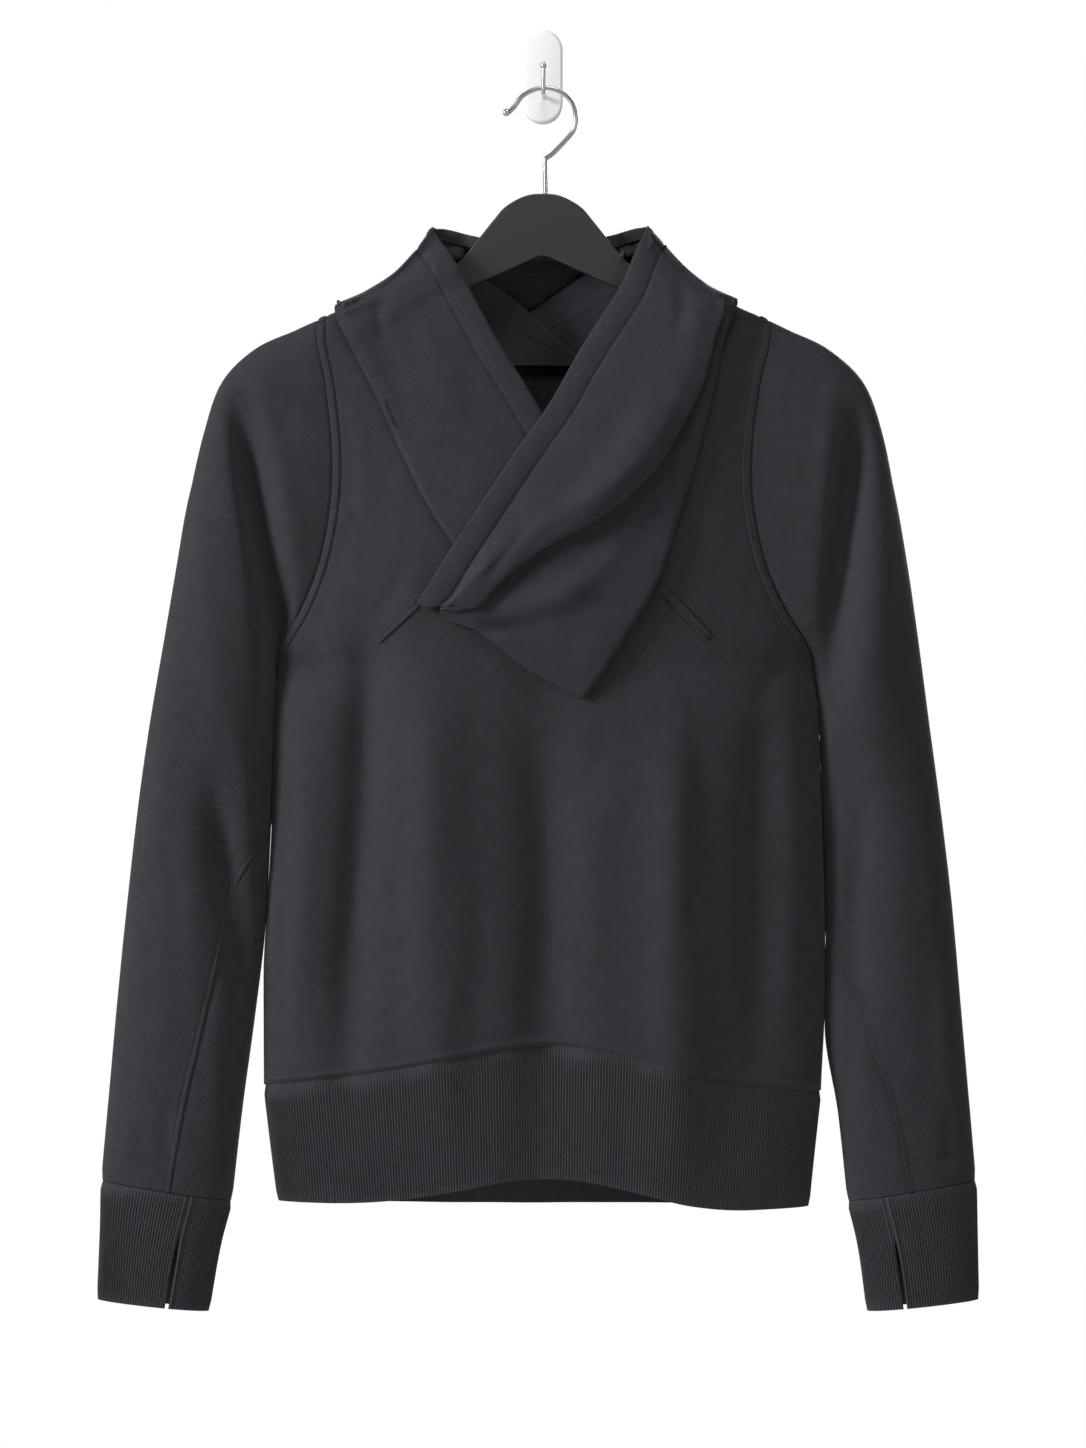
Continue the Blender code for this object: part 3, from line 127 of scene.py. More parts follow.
# Sleeve sections from the armhole to the cuff: outer edge, inner edge, bow, depths
SLEEVE = table(
    "outer_z outer_left outer_right inner_z inner_left inner_right bow front back",
    (-179.3, -162.0, 162.0, -427.0, -193.0, 195.4, 1.00, 25.0, 24.0),
    (-187.5, -180.0, 178.5, -431.0, -194.0, 197.2, 0.78, 27.0, 24.5),
    (-201.0, -209.0, 206.8, -434.0, -194.1, 197.0, 0.57, 28.0, 25.0),
    (-224.6, -232.6, 231.8, -440.0, -194.4, 197.6, 0.40, 29.0, 25.0),
    (-260.6, -245.5, 245.5, -448.0, -194.8, 198.4, 0.27, 30.0, 25.0),
    (-311.0, -257.0, 255.6, -458.0, -195.2, 199.2, 0.17, 30.5, 25.0),
    (-362.0, -266.3, 264.5, -474.0, -195.7, 200.6, 0.09, 30.0, 25.0),
    (-415.0, -275.3, 272.2, -498.0, -196.3, 201.5, 0.04, 29.0, 25.0),
    (-469.4, -284.4, 279.4, -532.0, -197.3, 202.9, 0.00, 28.0, 24.0),
    (-530.0, -293.0, 287.4, -573.0, -199.3, 204.4, 0.00, 27.0, 23.5),
    (-600.0, -301.0, 295.6, -626.0, -202.3, 205.0, 0.00, 26.0, 23.0),
    (-670.0, -308.0, 302.0, -690.0, -209.2, 206.6, 0.00, 25.0, 22.0),
    (-740.0, -314.2, 308.4, -752.0, -217.6, 213.2, 0.00, 23.0, 20.0),
    (-802.0, -319.9, 313.8, -816.9, -225.0, 220.3, 0.00, 21.0, 18.0),
)

# Seams of the under-sleeve, as turns round the sleeve from its outer edge
UNDER_SEAM = table(
    "inner_z front_left front_right back",
    (-427.0, 195.0, 195.0, 240.0),
    (-500.0, 190.0, 194.0, 240.0),
    (-530.0, 187.0, 193.0, 243.0),
    (-552.0, 167.0, 192.0, 244.0),
    (-571.0, 143.0, 190.0, 245.0),
    (-590.0, 127.0, 188.0, 246.0),
    (-620.0, 117.0, 180.0, 248.0),
    (-646.0, 114.0, 152.0, 249.0),
    (-675.0, 110.0, 121.0, 251.0),
    (-710.0, 105.0, 112.0, 253.0),
    (-752.0, 99.0, 102.0, 255.0),
    (-816.9, 93.5, 93.5, 257.0),
)

# Cuffs below the sleeve: sections, and the vent's place round the cuff, in turns
CUFF = table(
    "outer_z outer_left outer_right inner_z inner_left inner_right front back vent_left vent_right",
    (-802.6, -319.9, 313.8, -817.5, -225.0, 220.3, 21.0, 18.0, 112.0, 117.0),
    (-840.0, -320.6, 314.4, -852.0, -234.0, 228.5, 19.5, 17.0, 108.5, 113.5),
    (-888.6, -322.6, 315.4, -897.0, -241.9, 234.7, 18.5, 16.0, 105.5, 110.0),
)

# Large soft folds of the body and of the sleeves: a ridge is positive, a trough negative
BODY_FOLDS = table(
    "top_x top_z bottom_x bottom_z height width",
    (-162.0, -440.0, -178.0, -690.0, 4.5, 11.0),
    (-124.0, -390.0, -143.0, -720.0, -15.0, 16.0),
    (-80.0, -420.0, -76.0, -740.0, 9.0, 22.0),
    (2.0, -420.0, 6.0, -800.0, -11.0, 25.0),
    (100.0, -450.0, 95.0, -790.0, 10.5, 23.0),
    (160.0, -430.0, 154.0, -700.0, -9.0, 14.0),
)
LEFT_FOLDS = table(
    "top_x top_z bottom_x bottom_z height width",
    (-216.0, -240.0, -187.0, -430.0, -17.0, 11.5),
    (-192.0, -270.0, -180.0, -350.0, 2.0, 10.0),
    (-238.0, -515.0, -214.0, -665.0, -6.5, 12.0),
    (-276.0, -420.0, -286.0, -720.0, 2.5, 16.0),
)
RIGHT_FOLDS = table(
    "top_x top_z bottom_x bottom_z height width",
    (227.0, -245.0, 208.0, -440.0, -14.0, 12.0),
    (250.0, -300.0, 240.0, -520.0, 3.0, 16.0),
    (222.0, -480.0, 226.0, -690.0, -5.0, 12.0),
    (282.0, -440.0, 288.0, -720.0, 2.5, 16.0),
)
SLEEVE_FOLDS = {"left": LEFT_FOLDS, "right": RIGHT_FOLDS}

# Collar sections from the neck ridge down each front. The inner edge is the free one.
# roll is the share of the width where the upper layer turns, drop its step down.
LAPEL_UNDER = table(
    "inner_x inner_z outer_x outer_z sag lift edge crest roll drop out",
    (-80.6, -112.3, -151.2, -168.0, 8.5, 0.0, 2.0, 2.0, 0.90, 0.0, 2.0),
    (-78.0, -117.5, -150.0, -176.5, 7.5, 1.0, 7.0, 7.5, 0.90, 0.0, 6.4),
    (-71.0, -127.0, -147.0, -184.0, 5.5, 1.0, 9.0, 9.0, 0.90, 0.0, 6.4),
    (-62.6, -139.7, -142.6, -192.2, 3.0, 1.0, 9.0, 9.0, 0.90, 0.0, 6.4),
    (-50.0, -164.0, -132.0, -213.0, 0.0, 1.0, 8.0, 8.5, 0.90, 0.0, 6.4),
    (-31.0, -199.4, -118.0, -241.0, 0.0, 1.0, 7.0, 8.0, 0.90, 0.0, 6.4),
    (-12.0, -229.0, -103.0, -275.0, 0.0, 1.0, 5.5, 7.0, 0.90, 0.0, 6.4),
    (4.0, -256.0, -84.0, -313.0, 0.0, 1.0, 5.0, 6.5, 0.90, 0.0, 6.4),
    (22.0, -283.0, -62.0, -347.0, 0.0, 1.0, 5.0, 6.5, 0.90, 0.0, 6.4),
    (36.0, -306.0, -42.0, -374.0, 0.0, 1.0, 5.0, 6.5, 0.90, 0.0, 6.4),
)
LAPEL_OVER = table(
    "inner_x inner_z outer_x outer_z sag lift edge crest roll drop out",
    (75.6, -111.6, 141.4, -164.2, 6.0, 0.0, 2.0, 2.0, 0.88, 0.0, 2.0),
    (73.0, -118.0, 139.5, -172.5, 5.0, 1.0, 7.0, 10.0, 0.90, 1.0, 6.6),
    (66.0, -133.0, 135.5, -182.0, 4.0, 1.0, 9.0, 14.0, 0.90, 4.0, 7.5),
    (56.9, -154.8, 130.0, -197.0, 2.0, 1.0, 10.0, 17.0, 0.90, 7.5, 7.5),
    (40.0, -182.0, 125.0, -221.0, 0.0, 1.0, 11.0, 19.0, 0.90, 10.0, 7.0),
    (23.0, -209.5, 119.0, -248.0, 0.0, 1.0, 12.0, 20.5, 0.87, 11.5, 7.0),
    (4.0, -243.0, 109.0, -287.0, 0.0, 1.0, 13.0, 22.0, 0.80, 13.0, 7.0),
    (-19.4, -276.5, 97.0, -325.0, 0.0, 1.0, 13.0, 22.5, 0.66, 13.0, 7.5),
    (-44.0, -314.0, 83.0, -369.0, 0.0, 1.0, 12.5, 21.0, 0.43, 11.5, 9.0),
    (-68.0, -350.0, 60.0, -408.0, 0.0, 1.0, 10.5, 18.0, 0.305, 9.5, 8.5),
    (-90.7, -386.6, 30.2, -455.0, 0.0, 1.0, 7.0, 11.0, 0.235, 5.0, 6.6),
)

# Back of the collar, from the left ridge round to the right one: upper and lower edge
COLLAR_BACK = table(
    "top_x top_z low_x low_z sag lift",
    (-80.6, -112.3, -151.2, -168.0, 8.5, 0.0),
    (-77.0, -112.8, -144.0, -180.0, 8.0, 1.0),
    (-68.5, -113.6, -129.0, -198.0, 5.0, 1.0),
    (-48.0, -119.0, -92.0, -228.0, 2.0, 1.0),
    (-26.0, -125.0, -48.0, -250.0, 0.0, 1.0),
    (0.0, -126.5, 0.0, -258.0, 0.0, 1.0),
    (26.0, -125.0, 48.0, -250.0, 0.0, 1.0),
    (46.0, -119.0, 90.0, -228.0, 1.0, 1.0),
    (64.5, -113.4, 122.0, -197.0, 3.0, 1.0),
    (72.0, -112.2, 136.0, -178.0, 5.0, 1.0),
    (75.6, -111.6, 141.4, -164.2, 6.0, 0.0),
)

# Crossing bands inside the back of the neck: free edge above, sewn edge below
NECK_BAND_RIGHT = table(
    "top_x top_z low_x low_z layer",
    (-60.0, -139.0, -60.0, -192.0, 1.2),
    (-31.7, -155.5, -45.0, -209.0, 1.2),
    (-10.0, -172.8, -27.0, -211.2, 2.0),
    (6.5, -187.2, -8.0, -211.2, 2.1),
    (28.0, -206.2, 24.0, -211.4, 2.1),
)
NECK_BAND_LEFT = table(
    "top_x top_z low_x low_z layer",
    (-14.0, -175.0, -12.0, -211.2, 1.0),
    (-10.1, -172.8, 8.0, -211.2, 1.0),
    (7.9, -160.6, 27.0, -211.2, 1.0),
    (27.4, -147.6, 42.0, -209.0, 1.4),
    (58.0, -131.0, 60.0, -192.0, 1.3),
)
NECK_LAYER = 2.5

# Slanted welts on the chest: centre line from its upper to its lower end
WELTS = table(
    "top_x top_z low_x low_z",
    (-90.0, -385.5, -119.5, -412.6),
    (82.5, -372.0, 119.0, -410.5),
)
WELT_WIDTH = 6.2

# Hanger: half outline of the arch from its middle, and the hook wire
HANGER_TOP = table(
    "x z",
    (0.0, -88.4),
    (9.0, -89.0),
    (18.0, -92.2),
    (28.0, -98.5),
    (35.0, -106.5),
    (45.0, -119.0),
    (53.0, -129.0),
    (61.0, -137.8),
    (68.0, -142.4),
)
HANGER_APEX_Z = -132.5
HANGER_THICK = 9.0
ARM_DROP = 4.8
ARM_HALF_SPAN = 202.0
ARM_TIP_RADIUS = 11.0
HOOK = table(
    "x z",
    (2.0, -88.0),
    (1.6, -66.0),
    (3.0, -62.0),
    (7.2, -59.0),
    (18.7, -46.8),
    (22.6, -41.0),
    (23.9, -35.0),
    (22.4, -25.0),
    (17.0, -17.5),
    (9.0, -12.7),
    (0.6, -11.4),
    (-8.0, -13.4),
    (-15.5, -18.0),
    (-20.5, -24.8),
    (-24.0, -28.4),
    (-25.2, -28.9),
)
HOOK_WIRE = 3.4
HOOK_NODES = ("hanger_hook", "hook_bow")
PIN_WIRE = 3.1
PIN_X = 0.5
PIN_TOP_Z = 3.4
PLATE_WIDTH = 29.0
PLATE_HEIGHT = 68.0
PLATE_THICK = 9.0

# Creases of the finished cloth, each along a bent line: start, middle, end, height, half width
FRONT_CREASES = table(
    "x0 z0 x1 z1 x2 z2 height width",
    (-134.0, -395.0, -128.0, -520.0, -148.0, -672.0, -1.6, 9.0),
    (-176.0, -440.0, -172.0, -560.0, -180.0, -700.0, 2.0, 9.0),
    (-92.0, -460.0, -84.0, -560.0, -94.0, -700.0, 1.2, 11.0),
    (-8.0, -470.0, 2.0, -600.0, -14.0, -710.0, -1.2, 10.0),
    (-62.0, -560.0, -58.0, -620.0, -66.0, -690.0, 0.9, 9.0),
    (30.0, -500.0, 34.0, -590.0, 26.0, -700.0, 1.0, 12.0),
    (88.0, -470.0, 92.0, -570.0, 84.0, -706.0, 1.2, 12.0),
    (108.0, -440.0, 112.0, -540.0, 104.0, -640.0, -1.2, 9.0),
    (152.0, -470.0, 149.0, -560.0, 152.0, -690.0, -1.6, 8.0),
    (176.0, -450.0, 181.0, -560.0, 174.0, -700.0, 1.4, 9.0),
    (-172.0, -415.0, -160.0, -436.0, -140.0, -452.0, -1.1, 6.0),
    (174.0, -417.0, 164.0, -440.0, 148.0, -462.0, -1.1, 6.0),
    (-140.0, -235.0, -130.0, -280.0, -126.0, -330.0, 1.0, 8.0),
    (139.0, -232.0, 131.0, -285.0, 128.0, -350.0, 1.0, 8.0),
    (-96.0, -345.0, -104.0, -372.0, -120.0, -396.0, -0.8, 6.0),
    (50.0, -470.0, 38.0, -500.0, 30.0, -540.0, -1.6, 14.0),
)
BACK_CREASES = table(
    "x0 z0 x1 z1 x2 z2 height width",
    (-150.0, -400.0, -144.0, -520.0, -158.0, -690.0, -1.8, 10.0),
    (-104.0, -380.0, -96.0, -520.0, -108.0, -700.0, 1.6, 13.0),
    (-46.0, -300.0, -40.0, -480.0, -52.0, -700.0, -1.6, 12.0),
    (8.0, -330.0, 14.0, -500.0, 2.0, -690.0, 1.4, 14.0),
    (62.0, -310.0, 54.0, -470.0, 66.0, -690.0, -1.8, 11.0),
    (112.0, -390.0, 106.0, -540.0, 118.0, -700.0, 1.5, 12.0),
    (160.0, -430.0, 150.0, -560.0, 158.0, -680.0, -1.7, 9.0),
    (-130.0, -230.0, -96.0, -262.0, -60.0, -272.0, -1.0, 8.0),
    (128.0, -232.0, 92.0, -258.0, 52.0, -276.0, -1.2, 8.0),
)
LEFT_SLEEVE_CREASES = table(
    "x0 z0 x1 z1 x2 z2 height width",
    (-222.0, -236.0, -213.0, -300.0, -194.0, -400.0, -2.6, 6.0),
    (-204.0, -212.0, -199.0, -270.0, -190.0, -330.0, 1.0, 7.0),
    (-251.0, -300.0, -240.0, -400.0, -226.0, -500.0, 1.6, 12.0),
    (-240.0, -500.0, -229.0, -575.0, -214.0, -655.0, -3.0, 7.0),
    (-262.0, -520.0, -254.0, -600.0, -250.0, -690.0, 1.4, 9.0),
    (-226.0, -455.0, -214.0, -520.0, -210.0, -580.0, 1.2, 7.0),
    (-284.0, -560.0, -282.0, -640.0, -288.0, -720.0, -1.0, 8.0),
    (-276.0, -745.0, -270.0, -770.0, -268.0, -797.0, -1.2, 6.0),
    (-300.0, -752.0, -299.0, -775.0, -302.0, -796.0, 0.9, 6.0),
    (-236.0, -770.0, -241.0, -785.0, -244.0, -803.0, -0.9, 5.0),
    (-205.0, -600.0, -214.0, -625.0, -232.0, -640.0, -1.0, 5.0),
)
RIGHT_SLEEVE_CREASES = table(
    "x0 z0 x1 z1 x2 z2 height width",
    (226.0, -240.0, 219.0, -305.0, 205.0, -400.0, -2.8, 6.0),
    (211.0, -215.0, 205.0, -270.0, 199.0, -330.0, 1.2, 7.0),
    (247.0, -300.0, 236.0, -405.0, 222.0, -500.0, 1.5, 12.0),
    (238.0, -500.0, 226.0, -590.0, 219.0, -690.0, -1.8, 8.0),
    (264.0, -480.0, 258.0, -590.0, 262.0, -700.0, 1.2, 12.0),
    (216.0, -470.0, 210.0, -560.0, 212.0, -640.0, -1.6, 6.0),
    (284.0, -600.0, 280.0, -680.0, 286.0, -760.0, -1.0, 9.0),
    (252.0, -740.0, 250.0, -770.0, 254.0, -800.0, 0.9, 6.0),
    (291.0, -752.0, 293.0, -775.0, 290.0, -796.0, -1.0, 6.0),
    (232.0, -690.0, 236.0, -740.0, 240.0, -790.0, -0.8, 6.0),
)
UNDER_CREASES = table(
    "x0 z0 x1 z1 x2 z2 height width",
    (-240.0, -640.0, -236.0, -700.0, -240.0, -790.0, 0.9, 7.0),
    (236.0, -650.0, 232.0, -710.0, 236.0, -790.0, 0.9, 7.0),
)
OVER_CREASES = table(
    "x0 z0 x1 z1 x2 z2 height width",
    (96.0, -150.0, 100.0, -172.0, 92.0, -196.0, -1.6, 5.0),
    (84.0, -236.0, 50.0, -300.0, -10.0, -366.0, 2.2, 13.0),
    (78.0, -200.0, 44.0, -268.0, -6.0, -330.0, -0.9, 9.0),
    (-10.0, -330.0, -28.0, -352.0, -44.0, -373.0, -2.2, 5.0),
    (104.0, -240.0, 92.0, -290.0, 66.0, -352.0, -1.4, 7.0),
    (4.0, -400.0, -20.0, -402.0, -50.0, -404.0, -3.4, 4.5),
    (34.0, -366.0, 8.0, -382.0, -34.0, -392.0, 3.4, 8.0),
    (60.0, -330.0, 30.0, -372.0, -10.0, -392.0, 1.6, 8.0),
    (46.0, -392.0, 34.0, -420.0, 22.0, -440.0, 1.0, 8.0),
)
LAPEL_CREASES = table(
    "x0 z0 x1 z1 x2 z2 height width",
    (-112.0, -158.0, -118.0, -178.0, -112.0, -200.0, -1.5, 5.0),
    (-86.0, -170.0, -76.0, -214.0, -56.0, -262.0, 1.2, 12.0),
    (-122.0, -186.0, -104.0, -226.0, -84.0, -268.0, -1.0, 8.0),
)


def spline(xs, ys, at):
    """Cubic Hermite curve through a table's rows, with flat clamping at its ends."""
    order = np.argsort(xs)
    xs, ys = xs[order], ys[order]
    at = np.clip(at, xs[0], xs[-1])
    chord = np.diff(ys) / np.diff(xs)
    slope = np.concatenate([chord[:1], 0.5 * (chord[:-1] + chord[1:]), chord[-1:]])
    turn = np.where(chord[:-1] * chord[1:] <= 0.0)[0] + 1
    slope[turn] = 0.0
    i = np.clip(np.searchsorted(xs, at) - 1, 0, len(xs) - 2)
    step = xs[i + 1] - xs[i]
    t = (at - xs[i]) / step
    return (
        ys[i] * (1 + 2 * t) * (1 - t) ** 2
        + ys[i + 1] * t * t * (3 - 2 * t)
        + step * (slope[i] * t * (1 - t) ** 2 - slope[i + 1] * t * t * (1 - t))
    )


def by_row(rows, column, at):
    """Read a column of a table at a fractional row number."""
    return spline(np.arange(len(rows[column]), dtype=float), rows[column], at)


def smoothstep(low, high, value):
    t = np.clip((value - low) / (high - low), 0.0, 1.0)
    return t * t * (3 - 2 * t)


def unit(vector):
    return vector / max(np.linalg.norm(vector), 1e-12)


def units(vectors):
    return vectors / np.maximum(np.linalg.norm(vectors, axis=-1, keepdims=True), 1e-12)


def folds(rows, x, z, mirror=1.0):
    """Sum of soft ridges and troughs, each along its own line."""
    total = 0.0
    for i in range(len(rows["height"])):
        x0, z0 = mirror * rows["top_x"][i], rows["top_z"][i]
        x1, z1 = mirror * rows["bottom_x"][i], rows["bottom_z"][i]
        length = math.hypot(x1 - x0, z1 - z0)
        along = ((x - x0) * (x1 - x0) + (z - z0) * (z1 - z0)) / length ** 2
        across = ((x - x0) * (z1 - z0) - (z - z0) * (x1 - x0)) / length
        run = smoothstep(-0.12, 0.30, along) * smoothstep(1.22, 0.80, along)
        total += rows["height"][i] * run * math.exp(-((across / rows["width"][i]) ** 2))
    return total


# Fine sheets: points, creases and seams


def curve_through(values, at):
    """Smooth curve through evenly numbered points, read at fractional numbers."""
    values = np.asarray(values, float)
    at = np.clip(np.asarray(at, float), 0.0, len(values) - 1.0)
    i = np.clip(at.astype(int), 0, len(values) - 2)
    t = (at - i).reshape(-1, *([1] * (values.ndim - 1)))
    a, b = values[i], values[i + 1]
    into = calmed(0.5 * (b - values[np.maximum(i - 1, 0)]), b - a)
    out = calmed(0.5 * (values[np.minimum(i + 2, len(values) - 1)] - a), b - a)
    rise = t * t * (3 - 2 * t)
    return a * (1 - rise) + b * rise + into * t * (1 - t) ** 2 - out * t * t * (1 - t)


def calmed(slope, step):
    """Shorten slopes that are longer than the step they lead over, so that no loop forms."""
    long = np.linalg.norm(slope, axis=-1, keepdims=True)
    room = np.linalg.norm(step, axis=-1, keepdims=True)
    return slope * np.minimum(1.0, room / np.maximum(long, 1e-9))


def refined(grid, rows, columns):
    """Finer grid through the same points."""
    tall = curve_through(grid, np.linspace(0.0, len(grid) - 1.0, rows + 1))
    wide = curve_through(tall.transpose(1, 0, 2), np.linspace(0.0, grid.shape[1] - 1.0, columns + 1))
    return wide.transpose(1, 0, 2)


def outward(points):
    """Normals of a grid whose columns run right and rows run up, as its outer face is seen."""
    return units(np.cross(np.gradient(points, axis=1), np.gradient(points, axis=0)))


def calm_normals(points):
    """Normals averaged with their neighbours, for tight folds and corners."""
    normals = outward(points)
    for _ in range(2):
        wide = np.pad(normals, ((1, 1), (1, 1), (0, 0)), mode="edge")
        beside = wide[:-2, 1:-1] + wide[2:, 1:-1] + wide[1:-1, :-2] + wide[1:-1, 2:]
        normals = units(normals + 0.5 * beside)
    return normals


def creases(points, rows):
    """Height of a table's creases at each point; each fades out towards its ends."""
    flat = points[..., [0, 2]].reshape(-1, 2)
    total = np.zeros(len(flat))
    for i in range(len(rows["height"])):
        start, middle, end = (np.array([rows["x" + k][i], rows["z" + k][i]]) for k in "012")
        t = np.linspace(0.0, 1.0, 25)[:, None]
        line = start * (1 - t) * (1 - 2 * t) + middle * 4 * t * (1 - t) + end * t * (2 * t - 1)
        near = np.full(len(flat), 1e9)
        share = np.zeros(len(flat))
        for k in range(len(line) - 1):
            run = line[k + 1] - line[k]
            s = np.clip(((flat - line[k]) @ run) / (run @ run), 0.0, 1.0)
            gap = np.linalg.norm(flat - line[k] - s[:, None] * run, axis=1)
            closer = gap < near
            near = np.where(closer, gap, near)
            share = np.where(closer, (k + s) / (len(line) - 1), share)
        fade = np.sin(np.pi * np.clip(share, 0.0, 1.0)) ** 0.8
        total += CREASE * rows["height"][i] * fade * np.exp(-((near / rows["width"][i]) ** 2))
    return total.reshape(points.shape[:2])


def waves(points, size, height):
    """Slight unevenness of hanging cloth, drawn out along Z."""
    x, y, z = points[..., 0] / size, points[..., 1] / size, points[..., 2] / (3.2 * size)
    a = np.sin(2.1 * x + 1.3 * np.sin(1.7 * z + 0.6) + 0.7 * y)
    b = np.sin(3.7 * x - 1.9 * z + 1.1 * np.sin(2.3 * x + 0.9 * z))
    return height * (0.6 * a + 0.4 * b)


def pushed(points, heights):
    return points + outward(points) * heights[..., None]


def edge_distance(points, edge):
    """Distance of each point from a line, and how far along the line it lies."""
    flat = points.reshape(-1, 3)
    near = np.full(len(flat), 1e9)
    place = np.zeros(len(flat))
    walked = 0.0
    for a, b in zip(edge[:-1], edge[1:]):
        run = b - a
        length = np.linalg.norm(run)
        if length < 1e-9:
            continue
        s = np.clip(((flat - a) @ run) / length ** 2, 0.0, 1.0)
        gap = np.linalg.norm(flat - a - s[:, None] * run, axis=1)
        closer = gap < near
        near = np.where(closer, gap, near)
        place = np.where(closer, walked + s * length, place)
        walked += length
    return near.reshape(points.shape[:2]), place.reshape(points.shape[:2])


def felled(points, edge, width, height, reach=14.0):
    """Heights of a felled seam: a raised strip along an edge, drawn down by its stitches."""
    gap, place = edge_distance(points, edge)
    pucker = 1.0 + 0.16 * np.sin(place / 1.9 + 1.2 * np.sin(place / 9.0)) + 0.10 * np.sin(place / 4.3)
    strip = smoothstep(width + 0.5, width - 0.9, gap) * (0.55 + 0.45 * smoothstep(0.0, 1.4, gap))
    groove = np.exp(-(((gap - width - 0.5) / 0.9) ** 2))
    swell = np.exp(-(((gap - width - 4.0) / 3.0) ** 2)) * np.sin(place / 3.1 + 2.0 * np.sin(place / 13.0))
    heights = height * strip * pucker - 0.40 * height * groove + 0.10 * height * swell
    return np.where(gap < reach, heights, 0.0)


def tucked(points, edge, depth, width):
    """Heights of an edge that dips under its neighbour at a seam."""
    gap, _ = edge_distance(points, edge)
    return -depth * np.exp(-((gap / width) ** 2))


def rolled(points, edge, height, width):
    """Heights of the soft roll that a gathered seam leaves beside it."""
    gap, place = edge_distance(points, edge)
    lively = 1.0 + 0.20 * np.sin(place / 3.7 + 1.5 * np.sin(place / 17.0)) + 0.12 * np.sin(place / 8.3)
    roll = np.exp(-(((gap - 1.1 * width) / (0.62 * width)) ** 2)) * lively
    return height * roll - 0.9 * height * np.exp(-((gap / (0.42 * width)) ** 2))


# Materials


def socket(tree, name, kind, in_out, value=None):
    made = tree.interface.new_socket(name=name, in_out=in_out, socket_type=kind)
    if value is not None:
        made.default_value = value
    return made


def node(tree, kind, **values):
    made = tree.nodes.new(kind)
    for key, value in values.items():
        if hasattr(made, key):
            setattr(made, key, value)
        else:
            made.inputs[key.replace("_", " ")].default_value = value
    return made


def math_node(tree, operation, a, b):
    made = tree.nodes.new("ShaderNodeMath")
    made.operation = operation
    for i, value in enumerate((a, b)):
        if isinstance(value, bpy.types.NodeSocket):
            tree.links.new(value, made.inputs[i])
        else:
            made.inputs[i].default_value = value
    return made.outputs[0]


@functools.lru_cache(maxsize=None)
def jersey_group():
    """Fine knit face: upright wales, a soft fuzz and a slight unevenness of dye."""
    tree = bpy.data.node_groups.new("jersey_face", "ShaderNodeTree")
    socket(tree, "Colour", "NodeSocketColor", "INPUT", (0.04, 0.04, 0.04, 1.0))
    socket(tree, "Wales per metre", "NodeSocketFloat", "INPUT", 900.0)
    socket(tree, "Mottle", "NodeSocketFloat", "INPUT", 0.25)
    socket(tree, "Colour", "NodeSocketColor", "OUTPUT")
    socket(tree, "Height", "NodeSocketFloat", "OUTPUT")
    socket(tree, "Roughness", "NodeSocketFloat", "OUTPUT")
    links = tree.links
    given = tree.nodes.new("NodeGroupInput")
    result = tree.nodes.new("NodeGroupOutput")
    place = tree.nodes.new("ShaderNodeUVMap")
    place.uv_map = "cut"
    where = tree.nodes.new("ShaderNodeTexCoord")
    parts = tree.nodes.new("ShaderNodeSeparateXYZ")
    links.new(place.outputs["UV"], parts.inputs[0])
    across = math_node(tree, "MULTIPLY", parts.outputs["X"], given.outputs["Wales per metre"])
    up = math_node(tree, "MULTIPLY", parts.outputs["Y"], given.outputs["Wales per metre"])
    wale = math_node(tree, "SINE", math_node(tree, "MULTIPLY", across, 2 * math.pi), 0.0)
    lean = math_node(tree, "MULTIPLY", math_node(tree, "ABSOLUTE", wale, 0.0), 0.35)
    leaning = math_node(tree, "ADD", up, lean)
    course = math_node(tree, "SINE", math_node(tree, "MULTIPLY", leaning, 2 * math.pi * 0.72), 0.0)
    fuzz = node(tree, "ShaderNodeTexNoise", Scale=2600.0, Detail=2.0, Roughness=0.6)
    links.new(where.outputs["Object"], fuzz.inputs["Vector"])
    cloud = node(tree, "ShaderNodeTexNoise", Scale=95.0, Detail=4.0, Roughness=0.62)
    links.new(where.outputs["Object"], cloud.inputs["Vector"])
    broad = node(tree, "ShaderNodeTexNoise", Scale=11.0, Detail=3.0, Roughness=0.5)
    links.new(where.outputs["Object"], broad.inputs["Vector"])
    upright = math_node(tree, "MULTIPLY", wale, 0.30)
    knit = math_node(tree, "ADD", upright, math_node(tree, "MULTIPLY", course, 0.16))
    high = math_node(tree, "ADD", knit, math_node(tree, "MULTIPLY", fuzz.outputs[0], 1.10))
    links.new(high, result.inputs["Height"])
    spread = math_node(tree, "SUBTRACT", fuzz.outputs[0], 0.5)
    cloudy = math_node(tree, "SUBTRACT", cloud.outputs[0], 0.5)
    wide = math_node(tree, "SUBTRACT", broad.outputs[0], 0.5)
    mixed = math_node(tree, "MULTIPLY", spread, 2.6)
    for effect, weight in ((cloudy, 1.1), (wide, 0.5), (knit, 0.5)):
        mixed = math_node(tree, "ADD", mixed, math_node(tree, "MULTIPLY", effect, weight))
    shade = math_node(tree, "ADD", 1.0, math_node(tree, "MULTIPLY", mixed, given.outputs["Mottle"]))
    tint = tree.nodes.new("ShaderNodeVectorMath")
    tint.operation = "SCALE"
    links.new(given.outputs["Colour"], tint.inputs[0])
    links.new(shade, tint.inputs["Scale"])
    links.new(tint.outputs[0], result.inputs["Colour"])
    rough = math_node(tree, "ADD", 0.86, math_node(tree, "MULTIPLY", spread, 0.12))
    links.new(rough, result.inputs["Roughness"])
    return tree


def new_material(name):
    made = bpy.data.materials.new(name)
    made.use_nodes = True
    return made, made.node_tree, made.node_tree.nodes["Principled BSDF"]


